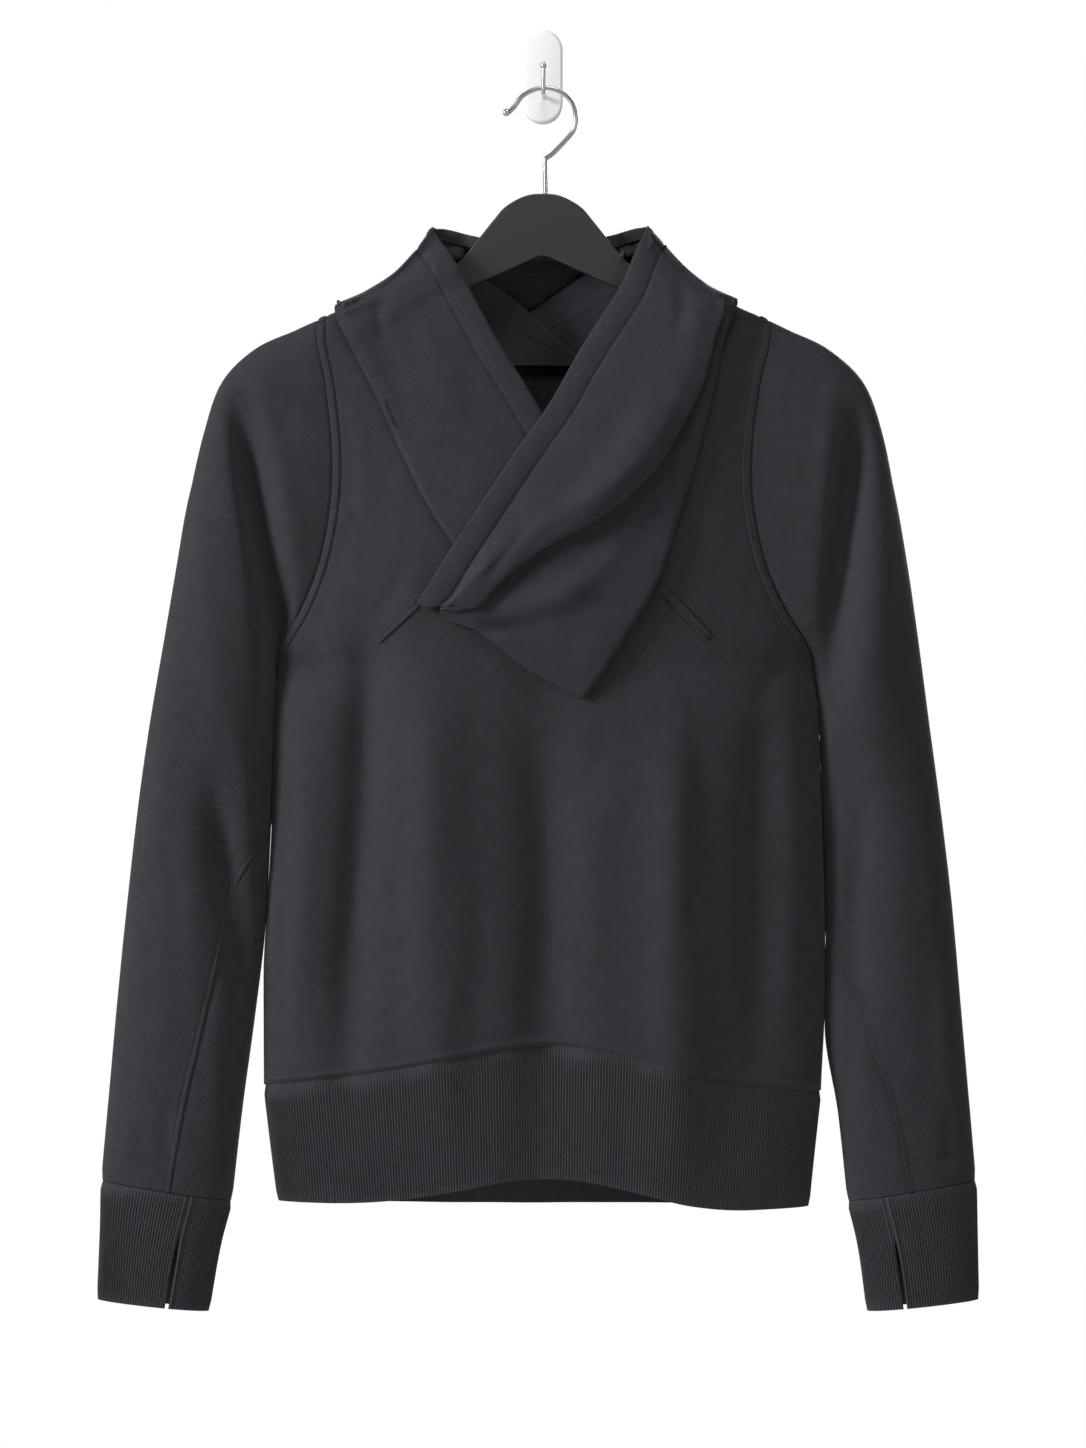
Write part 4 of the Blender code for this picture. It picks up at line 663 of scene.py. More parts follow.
def cloth_material(name, colour, wales, mottle, bump, sheen):
    made, tree, shader = new_material(name)
    face = tree.nodes.new("ShaderNodeGroup")
    face.node_tree = jersey_group()
    face.inputs["Colour"].default_value = (*colour, 1.0)
    face.inputs["Wales per metre"].default_value = wales
    face.inputs["Mottle"].default_value = mottle
    relief = node(tree, "ShaderNodeBump", Strength=bump, Distance=0.0003)
    tree.links.new(face.outputs["Height"], relief.inputs["Height"])
    tree.links.new(relief.outputs["Normal"], shader.inputs["Normal"])
    tree.links.new(face.outputs["Colour"], shader.inputs["Base Color"])
    tree.links.new(face.outputs["Roughness"], shader.inputs["Roughness"])
    shader.inputs["Specular IOR Level"].default_value = 0.18
    shader.inputs["Sheen Weight"].default_value = sheen
    shader.inputs["Sheen Roughness"].default_value = 0.55
    shader.inputs["Sheen Tint"].default_value = (0.84, 0.80, 0.88, 1.0)
    return made


@functools.lru_cache(maxsize=None)
def grain_group():
    """Faint grain in the colour, gloss and surface of lacquer, steel, paint or a floor."""
    tree = bpy.data.node_groups.new("faint_grain", "ShaderNodeTree")
    socket(tree, "Dark", "NodeSocketColor", "INPUT", (0.5, 0.5, 0.5, 1.0))
    socket(tree, "Light", "NodeSocketColor", "INPUT", (0.5, 0.5, 0.5, 1.0))
    socket(tree, "Smooth", "NodeSocketFloat", "INPUT", 0.4)
    socket(tree, "Rough", "NodeSocketFloat", "INPUT", 0.5)
    socket(tree, "Grains per metre", "NodeSocketFloat", "INPUT", 900.0)
    socket(tree, "Stretch", "NodeSocketVector", "INPUT", (1.0, 1.0, 1.0))
    socket(tree, "Colour", "NodeSocketColor", "OUTPUT")
    socket(tree, "Roughness", "NodeSocketFloat", "OUTPUT")
    socket(tree, "Height", "NodeSocketFloat", "OUTPUT")
    links = tree.links
    given = tree.nodes.new("NodeGroupInput")
    result = tree.nodes.new("NodeGroupOutput")
    where = tree.nodes.new("ShaderNodeTexCoord")
    place = tree.nodes.new("ShaderNodeMapping")
    noise = node(tree, "ShaderNodeTexNoise", Detail=3.0)
    ramp = tree.nodes.new("ShaderNodeMapRange")
    tone = tree.nodes.new("ShaderNodeMix")
    tone.data_type = "RGBA"
    links.new(where.outputs["Object"], place.inputs["Vector"])
    links.new(given.outputs["Stretch"], place.inputs["Scale"])
    links.new(place.outputs["Vector"], noise.inputs["Vector"])
    links.new(given.outputs["Grains per metre"], noise.inputs["Scale"])
    links.new(noise.outputs[0], ramp.inputs["Value"])
    links.new(given.outputs["Smooth"], ramp.inputs["To Min"])
    links.new(given.outputs["Rough"], ramp.inputs["To Max"])
    links.new(noise.outputs[0], tone.inputs["Factor"])
    links.new(given.outputs["Dark"], tone.inputs[6])
    links.new(given.outputs["Light"], tone.inputs[7])
    links.new(tone.outputs[2], result.inputs["Colour"])
    links.new(ramp.outputs[0], result.inputs["Roughness"])
    links.new(noise.outputs[0], result.inputs["Height"])
    return tree


def plain_material(name, colour, roughness, grain, pitch, bump=0.05, metallic=0.0, stretch=(1, 1, 1)):
    """Lacquer, steel, paint or floor with a faint grain; pitch is its grains per metre."""
    made, tree, shader = new_material(name)
    face = tree.nodes.new("ShaderNodeGroup")
    face.node_tree = grain_group()
    face.inputs["Dark"].default_value = (*[c * (1 - 1.2 * grain) for c in colour], 1.0)
    face.inputs["Light"].default_value = (*[min(1.0, c * (1 + 1.2 * grain)) for c in colour], 1.0)
    face.inputs["Smooth"].default_value = max(0.02, roughness - grain)
    face.inputs["Rough"].default_value = min(1.0, roughness + grain)
    face.inputs["Grains per metre"].default_value = pitch
    face.inputs["Stretch"].default_value = stretch
    relief = node(tree, "ShaderNodeBump", Strength=bump, Distance=0.0002)
    tree.links.new(face.outputs["Height"], relief.inputs["Height"])
    tree.links.new(relief.outputs["Normal"], shader.inputs["Normal"])
    tree.links.new(face.outputs["Colour"], shader.inputs["Base Color"])
    tree.links.new(face.outputs["Roughness"], shader.inputs["Roughness"])
    shader.inputs["Metallic"].default_value = metallic
    return made


FLEECE = cloth_material("charcoal_fleece_face", (0.0310, 0.0268, 0.0335), 620.0, 0.50, 0.75, 0.08)
COLLAR_FLEECE = cloth_material("charcoal_collar_face", (0.0300, 0.0264, 0.0328), 620.0, 0.50, 0.75, 0.08)
# Neck tape: charcoal knit like the fleece, its colour painted about 1.6 times lighter as painted light inside
# the back of the neck.
PAINTED_LIGHT_TAPE = cloth_material("charcoal_tape_painted_light", (0.0500, 0.0445, 0.0545), 700.0, 0.40, 0.60, 0.08)
RIB_KNIT = cloth_material("charcoal_rib_face", (0.0400, 0.0352, 0.0428), 980.0, 0.40, 0.5, 0.07)
THREAD = cloth_material("charcoal_thread", (0.0230, 0.0205, 0.0255), 3000.0, 0.20, 0.30, 0.10)
LACQUER = plain_material("black_lacquer", (0.0310, 0.0308, 0.0302), 0.42, 0.05, 1500.0, bump=0.10)
STEEL = plain_material(
    "satin_steel_wire", (0.56, 0.55, 0.53), 0.30, 0.05, 1200.0, metallic=1.0, stretch=(1, 1, 0.08)
)
PAINT = plain_material("white_paint", (0.88, 0.87, 0.855), 0.48, 0.03, 700.0, bump=0.06)


# Making pieces


def finished(name, bm, finish, nodes=(), sharp=50.0):
    """Turn a bmesh in millimetres into a piece in metres that stands for its CAD nodes."""
    bmesh.ops.scale(bm, vec=(MM, MM, MM), verts=bm.verts[:])
    mesh = bpy.data.meshes.new(name)
    bm.to_mesh(mesh)
    bm.free()
    mesh.materials.append(finish)
    mesh.shade_smooth()
    mesh.set_sharp_from_angle(angle=math.radians(sharp))
    made = bpy.data.objects.new(name, mesh)
    bpy.context.scene.collection.objects.link(made)
    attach(made, "root")
    if nodes:
        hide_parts(*nodes)
    return made


def cloth_mesh(points, thickness, used=None):
    """Wall of cloth on a grid of points: a grid whose points are placed, then given its thickness."""
    rows, columns = points.shape[0] - 1, points.shape[1] - 1
    bm = bmesh.new()
    lay = bm.loops.layers.uv.new("cut")
    number = bm.verts.layers.int.new("number")
    bmesh.ops.create_grid(bm, x_segments=columns, y_segments=rows, size=1.0)
    flat = points.reshape(-1, 3)
    inner = flat - thickness * calm_normals(points).reshape(-1, 3)
    across = np.zeros(points.shape[:2])
    across[:, 1:] = np.cumsum(np.linalg.norm(np.diff(points, axis=1), axis=2), axis=1)
    across -= across[:, columns // 2:columns // 2 + 1]
    up = np.zeros(points.shape[:2])
    up[1:] = np.cumsum(np.linalg.norm(np.diff(points, axis=0), axis=2), axis=0)
    across, up = across.reshape(-1) * MM, up.reshape(-1) * MM
    for v in bm.verts:
        v[number] = v.index
        v.co = inner[v.index]
    gone = []
    for f in bm.faces:
        for loop in f.loops:
            k = loop.vert.index
            loop[lay].uv = (across[k], up[k])
        if used is not None:
            corner = min(v.index for v in f.verts)
            if not used[corner // (columns + 1), corner % (columns + 1)]:
                gone.append(f)
    if gone:
        bmesh.ops.delete(bm, geom=gone, context="FACES")
    inside = bm.faces[:]
    made = bmesh.ops.extrude_face_region(bm, geom=inside, use_keep_orig=True)
    for v in made["geom"]:
        if isinstance(v, bmesh.types.BMVert):
            v.co = flat[v[number]]
    bmesh.ops.recalc_face_normals(bm, faces=bm.faces[:])
    bm.verts.layers.int.remove(number)
    return bm


def cut_area(points, used=None):
    """Area of a grid of points in square metres."""
    a, b = points[1:, 1:] - points[:-1, :-1], points[1:, :-1] - points[:-1, 1:]
    areas = 0.5 * np.linalg.norm(np.cross(a, b), axis=2)
    return float((areas if used is None else areas * used).sum()) * MM * MM


def cloth_piece(
    name, points, nodes, finish=None, thickness=CLOTH, used=None, area=None
):
    """A cut piece of the garment."""
    bm = cloth_mesh(points, thickness, used)
    piece = finished(name, bm, finish or FLEECE, nodes)
    if area is None:
        area = cut_area(points, used)
    return piece


def stitches(name, lines, pitch=2.9, length=2.2, width=0.42):
    """Short raised stitches along lines of points and normals."""
    bead = bmesh.new()
    bead.loops.layers.uv.new("cut")
    bmesh.ops.create_uvsphere(bead, u_segments=6, v_segments=4, radius=1.0)
    ball = bpy.data.meshes.new("one_stitch")
    bead.to_mesh(ball)
    bead.free()
    bm = bmesh.new()
    for path, normals in lines:
        path, normals = np.asarray(path, float), np.asarray(normals, float)
        walked = np.concatenate([[0.0], np.cumsum(np.linalg.norm(np.diff(path, axis=0), axis=1))])
        for at in np.arange(0.6 * pitch, walked[-1] - 0.5 * pitch, pitch):
            ends = [
                np.array([np.interp(at + k * 0.5 * length, walked, path[:, i]) for i in range(3)])
                for k in (-1, 1)
            ]
            normal = unit(np.array([np.interp(at, walked, normals[:, i]) for i in range(3)]))
            run = unit(ends[1] - ends[0])
            side = unit(np.cross(normal, run))
            lift = unit(np.cross(run, side))
            centre = 0.5 * (ends[0] + ends[1]) + 0.10 * lift
            turn = np.column_stack([side * width * 0.5, lift * width * 0.42, run * length * 0.5])
            made = ball.copy()
            made.transform(Matrix.Translation(Vector(centre)) @ Matrix(turn.tolist()).to_4x4())
            bm.from_mesh(made)
            bpy.data.meshes.remove(made)
    bpy.data.meshes.remove(ball)
    lay = bm.loops.layers.uv.verify()
    for f in bm.faces:
        for loop in f.loops:
            loop[lay].uv = (0.001 * loop.vert.co.x, 0.001 * loop.vert.co.z)
    bmesh.ops.recalc_face_normals(bm, faces=bm.faces[:])
    return finished(name, bm, THREAD)


# The body's form


def side_x(z, side):
    return spline(SIDES["z"], SIDES[side], z)


for row, height in enumerate(SLEEVE["inner_z"][:12]):
    if height > -640.0:
        SLEEVE["inner_left"][row] = side_x(height, "left") - 0.2
    SLEEVE["inner_right"][row] = side_x(height, "right") + 0.2


def sleeve_point(side, row, turn):
    """Point on the sleeve: row counts sections, turn is degrees round from the outer edge."""
    ox, oz = by_row(SLEEVE, "outer_" + side, row), by_row(SLEEVE, "outer_z", row)
    ix, iz = by_row(SLEEVE, "inner_" + side, row), by_row(SLEEVE, "inner_z", row)
    bow = by_row(SLEEVE, "bow", row) * ARMHOLE_BOW[side]
    angle = math.radians(turn % 360.0)
    t = 0.5 * (1 - math.cos(angle))
    length = math.hypot(ix - ox, iz - oz)
    inward = 1.0 if side == "left" else -1.0
    nx, nz = -inward * (iz - oz) / length, inward * (ix - ox) / length
    push = bow * spline(ARMHOLE["along"], ARMHOLE["bow"], t) * (1 - 0.7 * min(1.0, row) * t ** 3)
    x = ox + t * (ix - ox) + nx * push
    z = oz + t * (iz - oz) + nz * push
    share = abs(math.sin(angle)) ** (0.8 + 0.35 * t)
    middle = HANG_Y + (SIDE_Y + 1.0 - HANG_Y) * t
    if turn % 360.0 <= 180.0:
        depth = by_row(SLEEVE, "front", row) * share
        lump = folds(SLEEVE_FOLDS[side], x, z)
        return np.array([x, middle - depth - lump * min(1.0, 1.3 * share) * min(1.0, row), z])
    depth = by_row(SLEEVE, "back", row) * share
    lump = folds(SLEEVE_FOLDS[side], x, z)
    return np.array([x, middle + depth + 0.5 * lump * share * min(1.0, row), z])


def armhole(side, turn):
    """Point on the armhole seam."""
    point = sleeve_point(side, 0.0, turn)
    if turn % 360.0 == 180.0:
        point[1] = SIDE_Y
    return point


@functools.lru_cache(maxsize=None)
def armhole_seam(back):
    """Heights and depths along the armhole seam, on the front or on the back."""
    turns = np.arange(180.0, 345.1, 5.0) if back else np.arange(15.0, 180.1, 5.0)
    seam = np.array([armhole("left", t) for t in turns])
    order = np.argsort(seam[:, 2])
    return seam[order, 2], seam[order, 1]


def armhole_y(z, back):
    return float(np.interp(z, *armhole_seam(back)))


def crown(s, z):
    """Rise of the body across its width: round at the sides, flatter between armholes."""
    power = 0.5 + 0.5 * smoothstep(-470.0, -385.0, z)
    return max(0.0, 1.0 - abs(s) ** 2.4) ** power


def body_y(x, z, s, back=False):
    """Depth of the body's outer face at a place, s running from -1 to 1 across it."""
    middle = spline(MIDDLE["z"], MIDDLE["back" if back else "front"], z)
    edge = SIDE_Y if z < ARMPIT_Z else armhole_y(z, back)
    y = edge + (middle - edge) * crown(s, z)
    if back:
        return y + 0.5 * folds(BODY_FOLDS, x, z, -1.0) * (1 - s * s)
    return y - folds(BODY_FOLDS, x, z) * (1 - abs(s) ** 3)


def ridge(s):
    """Top of the shoulder, where the cloth lies over the hanger."""
    reach = abs(s) * SHOULDER_TIP_X
    height = SHOULDER_TIP_Z + SHOULDER_SLOPE * (SHOULDER_TIP_X - reach)
    return np.array([math.copysign(reach, s), HANG_Y, height])


def shoulder(s, turn):
    """Shoulder line parallel to the ridge, in front of it or behind it."""
    tip = armhole("left" if s < 0 else "right", turn)
    top = ridge(s)
    end = ridge(math.copysign(1.0, s))
    return np.array([top[0] + (tip[0] - end[0]), tip[1], top[2] + (tip[2] - end[2])])


def open_y(x, z, back=False):
    """Depth of the body's form, carried on over the neck opening and the shoulder line."""
    below = SHOULDER_TIP_Z + SHOULDER_SLOPE * (SHOULDER_TIP_X - abs(x)) - z
    share = np.clip(below / 4.2, 0.0, 1.0)
    return (1 - share) * HANG_Y + share * body_y(x, z, min(1.0, abs(x) / SHOULDER_TIP_X), back)


def back_neck_y(share):
    """Depth of the back's outer face along its neckline."""
    return -9.0 + (shoulder(1.0, 345.0)[1] + 9.0) * share ** 3


def hem_point(s, level, back):
    """Point of the hem seam or of the band's lower edge."""
    face = "back" if back else "front"
    taper = {"seam": 1.0, "bottom": 0.952}[level]
    left, right = side_x(-737.0, "left") * taper, side_x(-737.0, "right") * taper
    u = 0.5 * (1 + s)
    x = (1 - u) * left + u * right
    z = spline(HEM["x"], HEM[level + "_" + face], x / taper)
    if abs(s) > 0.9999:
        return np.array([x, SIDE_Y, z])
    return np.array([x, body_y(x, z, s, back), z])


def stations():
    """Places across a body panel from -1 to 1, dense beside the side edges."""
    near = np.linspace(0.0, 0.075, 15)
    middle = np.linspace(-1 + 0.075, 1 - 0.075, 84)[1:-1]
    return np.concatenate([near - 1.0, middle, 1.0 - near[::-1]])


def edge_points(side, turns):
    """Side edge of a body panel from the hem seam up to the armpit and on up the armhole."""
    low = float(HEM["seam_front"][0 if side == "left" else -1])
    shares = np.concatenate([np.linspace(0.0, 0.035, 11)[:-1], np.linspace(0.035, 1.0, 52)[:-1]])
    heights = low + (ARMPIT_Z - low) * shares
    lower = [np.array([side_x(z, side), SIDE_Y, z]) for z in heights]
    return np.array(lower + [armhole(side, t) for t in turns])


def lofted(left, right, low, top, across, back):
    """Grid between two side edges, a lower edge and a top edge."""
    grid = np.zeros((len(left), len(across), 3))
    v = np.linspace(0.0, 1.0, len(left)) if back is None else row_shares(left)
    for r in range(len(left)):
        for c, s in enumerate(across):
            u = 0.5 * (1 + s)
            flat = (1 - v[r]) * low[c] + v[r] * top[c] + (1 - u) * left[r] + u * right[r]
            flat -= (1 - v[r]) * ((1 - u) * low[0] + u * low[-1]) + v[r] * ((1 - u) * top[0] + u * top[-1])
            grid[r, c] = flat
            if 0 < c < len(across) - 1 and r < len(left) - 1:
                grid[r, c, 1] = body_y(flat[0], flat[2], s, back)
    grid[:, 0], grid[:, -1] = left, right
    return grid


def row_shares(edge):
    """How far up each row of a panel lies, by the height of its side edge."""
    heights = edge[:, 2]
    return (heights - heights[0]) / (heights[-1] - heights[0])


def front_points():
    across = stations()
    turns = np.arange(180.0, 14.9, -2.5)
    left, right = edge_points("left", turns), edge_points("right", turns)
    low = np.array([hem_point(s, "seam", False) for s in across])
    neck = NECK_HALF_WIDTH / SHOULDER_TIP_X
    top = []
    for s in across:
        if abs(s) > neck:
            top.append(shoulder(s, 15.0))
            continue
        end = shoulder(math.copysign(neck, s), 15.0)
        share = 1 - abs(s) / neck
        z = end[2] + (FRONT_NECK_Z - end[2]) * share
        x = end[0] * (1 - share)
        top.append(np.array([x, body_y(x, z, s * 0.6), z]))
    return lofted(left, right, low, np.array(top), across, False), left, right, low


def back_points():
    """Back, whose shoulders lie over the hanger and end in front of it."""
    across = stations()
    turns = np.arange(180.0, 345.1, 2.5)
    left, right = edge_points("left", turns), edge_points("right", turns)
    low = np.array([hem_point(s, "seam", True) for s in across])
    neck = NECK_HALF_WIDTH / SHOULDER_TIP_X
    top = []
    for s in across:
        if abs(s) > neck:
            top.append(shoulder(s, 345.0))
            continue
        end = shoulder(math.copysign(neck, s), 345.0)
        share = abs(s) / neck
        z = BACK_NECK_Z + (end[2] - BACK_NECK_Z) * smoothstep(0.25, 1.0, share)
        top.append(np.array([end[0] * share, back_neck_y(share), z]))
    grid = lofted(left, right, low, np.array(top), across, True)
    over = np.array([[shoulder(s, t) for s in across] for t in np.arange(347.5, 375.1, 2.5)])
    grid = np.concatenate([grid, over])
    used = np.ones((grid.shape[0] - 1, grid.shape[1] - 1), bool)
    used[-len(over):] = (np.abs(0.5 * (across[1:] + across[:-1])) > neck)[None, :]
    left = np.concatenate([left, over[:, 0]])
    right = np.concatenate([right, over[:, -1]])
    return grid, used, left, right, low


def under_turns(side, row):
    """Turns of the under-sleeve's two seams at a section."""
    z = by_row(SLEEVE, "inner_z", row)
    front = spline(UNDER_SEAM["inner_z"], UNDER_SEAM["front_" + side], z)
    return front, spline(UNDER_SEAM["inner_z"], UNDER_SEAM["back"], z)


def ring(side, row, turns):
    return [armhole(side, t) if row == 0.0 else sleeve_point(side, row, t) for t in turns]


def sleeve_points(side):
    """Sleeve and under-sleeve as fine grids, cut from one tube along two seams."""
    rows = np.concatenate([np.linspace(0.0, 1.5, 16), np.linspace(1.5, 13.0, 93)[1:]])[::-1]
    near = np.linspace(0.0, 0.04, 6)
    shares = np.concatenate([near, np.linspace(0.04, 0.96, 62)[1:-1], 1.0 - near[::-1]])
    outer, under = [], []
    for row in rows:
        front, back = under_turns(side, row)
        outer.append(ring(side, row, back + shares * (360.0 + front - back)))
        under.append(ring(side, row, front + np.linspace(0.0, 1.0, 31) * (back - front)))
    outer, under = np.array(outer), np.array(under)
    if side == "right":
        outer, under = outer[:, ::-1], under[:, ::-1]
    return outer, under


def cuff_point(side, row, turn):
    ox, oz = by_row(CUFF, "outer_" + side, row), by_row(CUFF, "outer_z", row)
    ix, iz = by_row(CUFF, "inner_" + side, row), by_row(CUFF, "inner_z", row)
    angle = math.radians(turn)
    t = 0.5 * (1 - math.cos(angle))
    share = abs(math.sin(angle)) ** (0.8 + 0.35 * t)
    middle = HANG_Y + (SIDE_Y + 1.0 - HANG_Y) * t
    depth = by_row(CUFF, "front" if turn % 360.0 <= 180.0 else "back", row) * share
    y = middle - depth if turn % 360.0 <= 180.0 else middle + depth
    return np.array([ox + t * (ix - ox), y, oz + t * (iz - oz)])


# Body panels and sleeves

front, front_left, front_right, front_low = front_points()
armpit_row = int(np.argmin(np.abs(front_left[:, 2] - ARMPIT_Z)))
back, back_used, back_left, back_right, back_low = back_points()
back_armpit = int(np.argmin(np.abs(back_left[:, 2] - ARMPIT_Z)))


def body_relief(points, rows, left, right, low, armpit, felt):
    """Creases, felled armholes and the roll above the hem seam on a body panel."""
    heights = creases(points, rows) + waves(points, 42.0, 0.5)
    heights *= smoothstep(0.0, 20.0, edge_distance(points, low)[0])
    for edge in (left[armpit:], right[armpit:]):
        near, _ = edge_distance(points, edge)
        heights *= 0.35 + 0.65 * smoothstep(4.0, 22.0, near)
    for edge in (left[:armpit + 1], right[:armpit + 1]):
        near, _ = edge_distance(points, edge)
        heights *= smoothstep(0.0, 16.0, near)
    for edge in (left[armpit:], right[armpit:]):
        heights += felled(points, edge, 5.6, felt)
    fade = np.ones(heights.shape)
    for edge in (left[:armpit + 1], right[:armpit + 1]):
        fade = np.minimum(fade, smoothstep(0.0, 14.0, edge_distance(points, edge)[0]))
    return heights + rolled(points, low, 1.5, 3.2) * fade


front = pushed(front, body_relief(front, FRONT_CREASES, front_left, front_right, front_low, armpit_row, 0.95))
mirrored = back[:, ::-1]
back = pushed(mirrored, body_relief(
    mirrored, BACK_CREASES, back_left, back_right, back_low, back_armpit, 0.95
))
back_used = back_used[:, ::-1]

cloth_piece("front_panel", front, ["front"])
cloth_piece("back_panel", back, ["back"], used=back_used)

sleeves = {}
for side, rows in (("left", LEFT_SLEEVE_CREASES), ("right", RIGHT_SLEEVE_CREASES)):
    outer, under = sleeve_points(side)
    top, bottom = outer[-1], outer[0]
    shape = creases(outer, rows) + waves(outer, 38.0, 0.30)
    shape = np.where(outer[..., 1] < -38.0, shape, 0.6 * shape)
    shape *= smoothstep(0.0, 14.0, edge_distance(outer, top)[0])
    seams = [outer[:, 0], outer[:, -1]]
    for seam in seams:
        shape *= 0.3 + 0.7 * smoothstep(0.0, 10.0, edge_distance(outer, seam)[0])
    shape += tucked(outer, top, 0.9, 1.3) + rolled(outer, bottom, 1.1, 2.6)
    for seam in seams:
        shape += felled(outer, seam, 2.6, 0.75, reach=9.0)
    outer = pushed(outer, shape)
    below = creases(under, UNDER_CREASES)
    for seam in (under[:, 0], under[:, -1]):
        below *= smoothstep(0.0, 8.0, edge_distance(under, seam)[0])
        below += tucked(under, seam, 0.7, 1.2)
    below += tucked(under, under[-1], 0.6, 1.5) + rolled(under, under[0], 0.9, 2.4)
    under = pushed(under, below)
    sleeves[side] = (outer, under)
    cloth_piece("sleeve_top_" + side, outer, ["sleeve_" + side])
    cloth_piece("sleeve_under_" + side, under, ["undersleeve_" + side])


# Hem band and cuffs, in real ribs


def ribbed(points, pitch, height, closed):
    """Finer grid across, whose outer face rises and falls with each rib."""
    middle = points[points.shape[0] // 2]
    walked = np.concatenate([[0.0], np.cumsum(np.linalg.norm(np.diff(middle, axis=0), axis=1))])
    ribs = max(1, int(round(walked[-1] / pitch)))
    steps = np.linspace(0.0, walked[-1], 4 * ribs + 1)
    index = np.interp(steps, walked, np.arange(len(middle), dtype=float))
    fine = curve_through(points.transpose(1, 0, 2), index).transpose(1, 0, 2)
    wave = height * np.cos(2 * np.pi * np.arange(4 * ribs + 1) / 4.0)
    normals = outward(fine)
    if closed:
        normals[:, 0] = normals[:, -1] = units(normals[:, 0] + normals[:, -1])
    return fine, normals, wave


def band_mesh(points, raised, closed):
    """Wall of a knitted band: plain inside, with its ribs raised in the outer face."""
    bm = bmesh.new()
    lay = bm.loops.layers.uv.new("cut")
    rows, columns = points.shape[0] - 1, points.shape[1] - 1
    bmesh.ops.create_grid(bm, x_segments=columns, y_segments=rows, size=1.0)
    flat = points.reshape(-1, 3)
    for v in bm.verts:
        v.co = flat[v.index]
    length = float(np.linalg.norm(np.diff(points[0], axis=0), axis=1).sum()) * MM
    tall = float(np.linalg.norm(np.diff(points[:, 0], axis=0), axis=1).sum()) * MM
    for f in bm.faces:
        for loop in f.loops:
            r, c = divmod(loop.vert.index, columns + 1)
            loop[lay].uv = (length * c / columns, tall * r / rows)
    ribs = raised.reshape(-1, 3)
    outer = [(v, Vector(ribs[v.index])) for v in bm.verts]
    if closed:
        bmesh.ops.remove_doubles(bm, verts=bm.verts[:], dist=1e-4)
    bm.normal_update()
    bmesh.ops.solidify(bm, geom=bm.faces[:], thickness=CLOTH)
    for v, move in outer:
        if v.is_valid:
            v.co += move
    return bm


def hem_band():
    shares = np.sin(0.5 * np.pi * np.linspace(-1.0, 1.0, 61))
    rings = []
    for share in np.linspace(1.0, 0.0, 13):
        line = []
        for is_back, way in ((False, shares[:-1]), (True, shares[::-1])):
            for s in way:
                top, low = hem_point(s, "seam", is_back), hem_point(s, "bottom", is_back)
                line.append(share * low + (1 - share) * top)
        rings.append(line)
    points = np.array(rings)
    fine, normals, wave = ribbed(points, RIB_PITCH, RIB_HEIGHT, True)
    up = np.linspace(0.0, 1.0, fine.shape[0])[:, None]
    fade = smoothstep(1.0, 0.93, up) * (0.55 + 0.45 * smoothstep(0.0, 0.05, up))
    drape = 0.8 * np.sin(fine[..., 0] / 13.0 + 1.1 * np.sin(fine[..., 0] / 31.0)) * (1 - up) ** 2
    hollow = -1.3 * smoothstep(0.90, 1.0, up) - 0.5 * smoothstep(0.05, 0.0, up)
    fine = fine + normals * (drape + hollow)[..., None]
    fine[:, -1] = fine[:, 0]
    mesh = band_mesh(fine, normals * (wave[None, :] * fade)[..., None], True)
    piece = finished("hem_rib", mesh, RIB_KNIT, ["hem_band"], sharp=80.0)
    return fine


def cuff(side):
    rings = []
    for row in np.linspace(2.0, 0.0, 13):
        here = float(by_row(CUFF, "vent_" + side, row))
        line = [cuff_point(side, row, here + t) for t in np.linspace(0.0, 360.0, 73)]
        opening = 1.2 * smoothstep(0.72, 1.25, row) + 0.05
        line[0] = line[0] + opening * unit(line[1] - line[0])
        line[-1] = line[-1] + opening * unit(line[-2] - line[-1])
        rings.append(line)
    points = np.array(rings)
    if side == "right":
        points = points[:, ::-1]
    fine, normals, wave = ribbed(points, RIB_PITCH, RIB_HEIGHT, False)
    up = np.linspace(0.0, 1.0, fine.shape[0])[:, None]
    fade = smoothstep(1.0, 0.92, up) * (0.55 + 0.45 * smoothstep(0.0, 0.05, up))
    hollow = -1.1 * smoothstep(0.90, 1.0, up) - 0.4 * smoothstep(0.05, 0.0, up)
    ends = np.minimum(np.arange(fine.shape[1]), np.arange(fine.shape[1])[::-1])[None, :]
    lip = 0.5 * np.exp(-((ends - 3.0) / 2.0) ** 2) - 0.7 * np.exp(-((ends / 1.2) ** 2))
    fine = fine + normals * (hollow + lip)[..., None]
    mesh = band_mesh(fine, normals * (wave[None, :] * fade)[..., None], False)
    piece = finished("cuff_rib_" + side, mesh, RIB_KNIT, ["cuff_" + side], sharp=80.0)
    return fine


hem_band()
cuff("left")
cuff("right")


# Collar


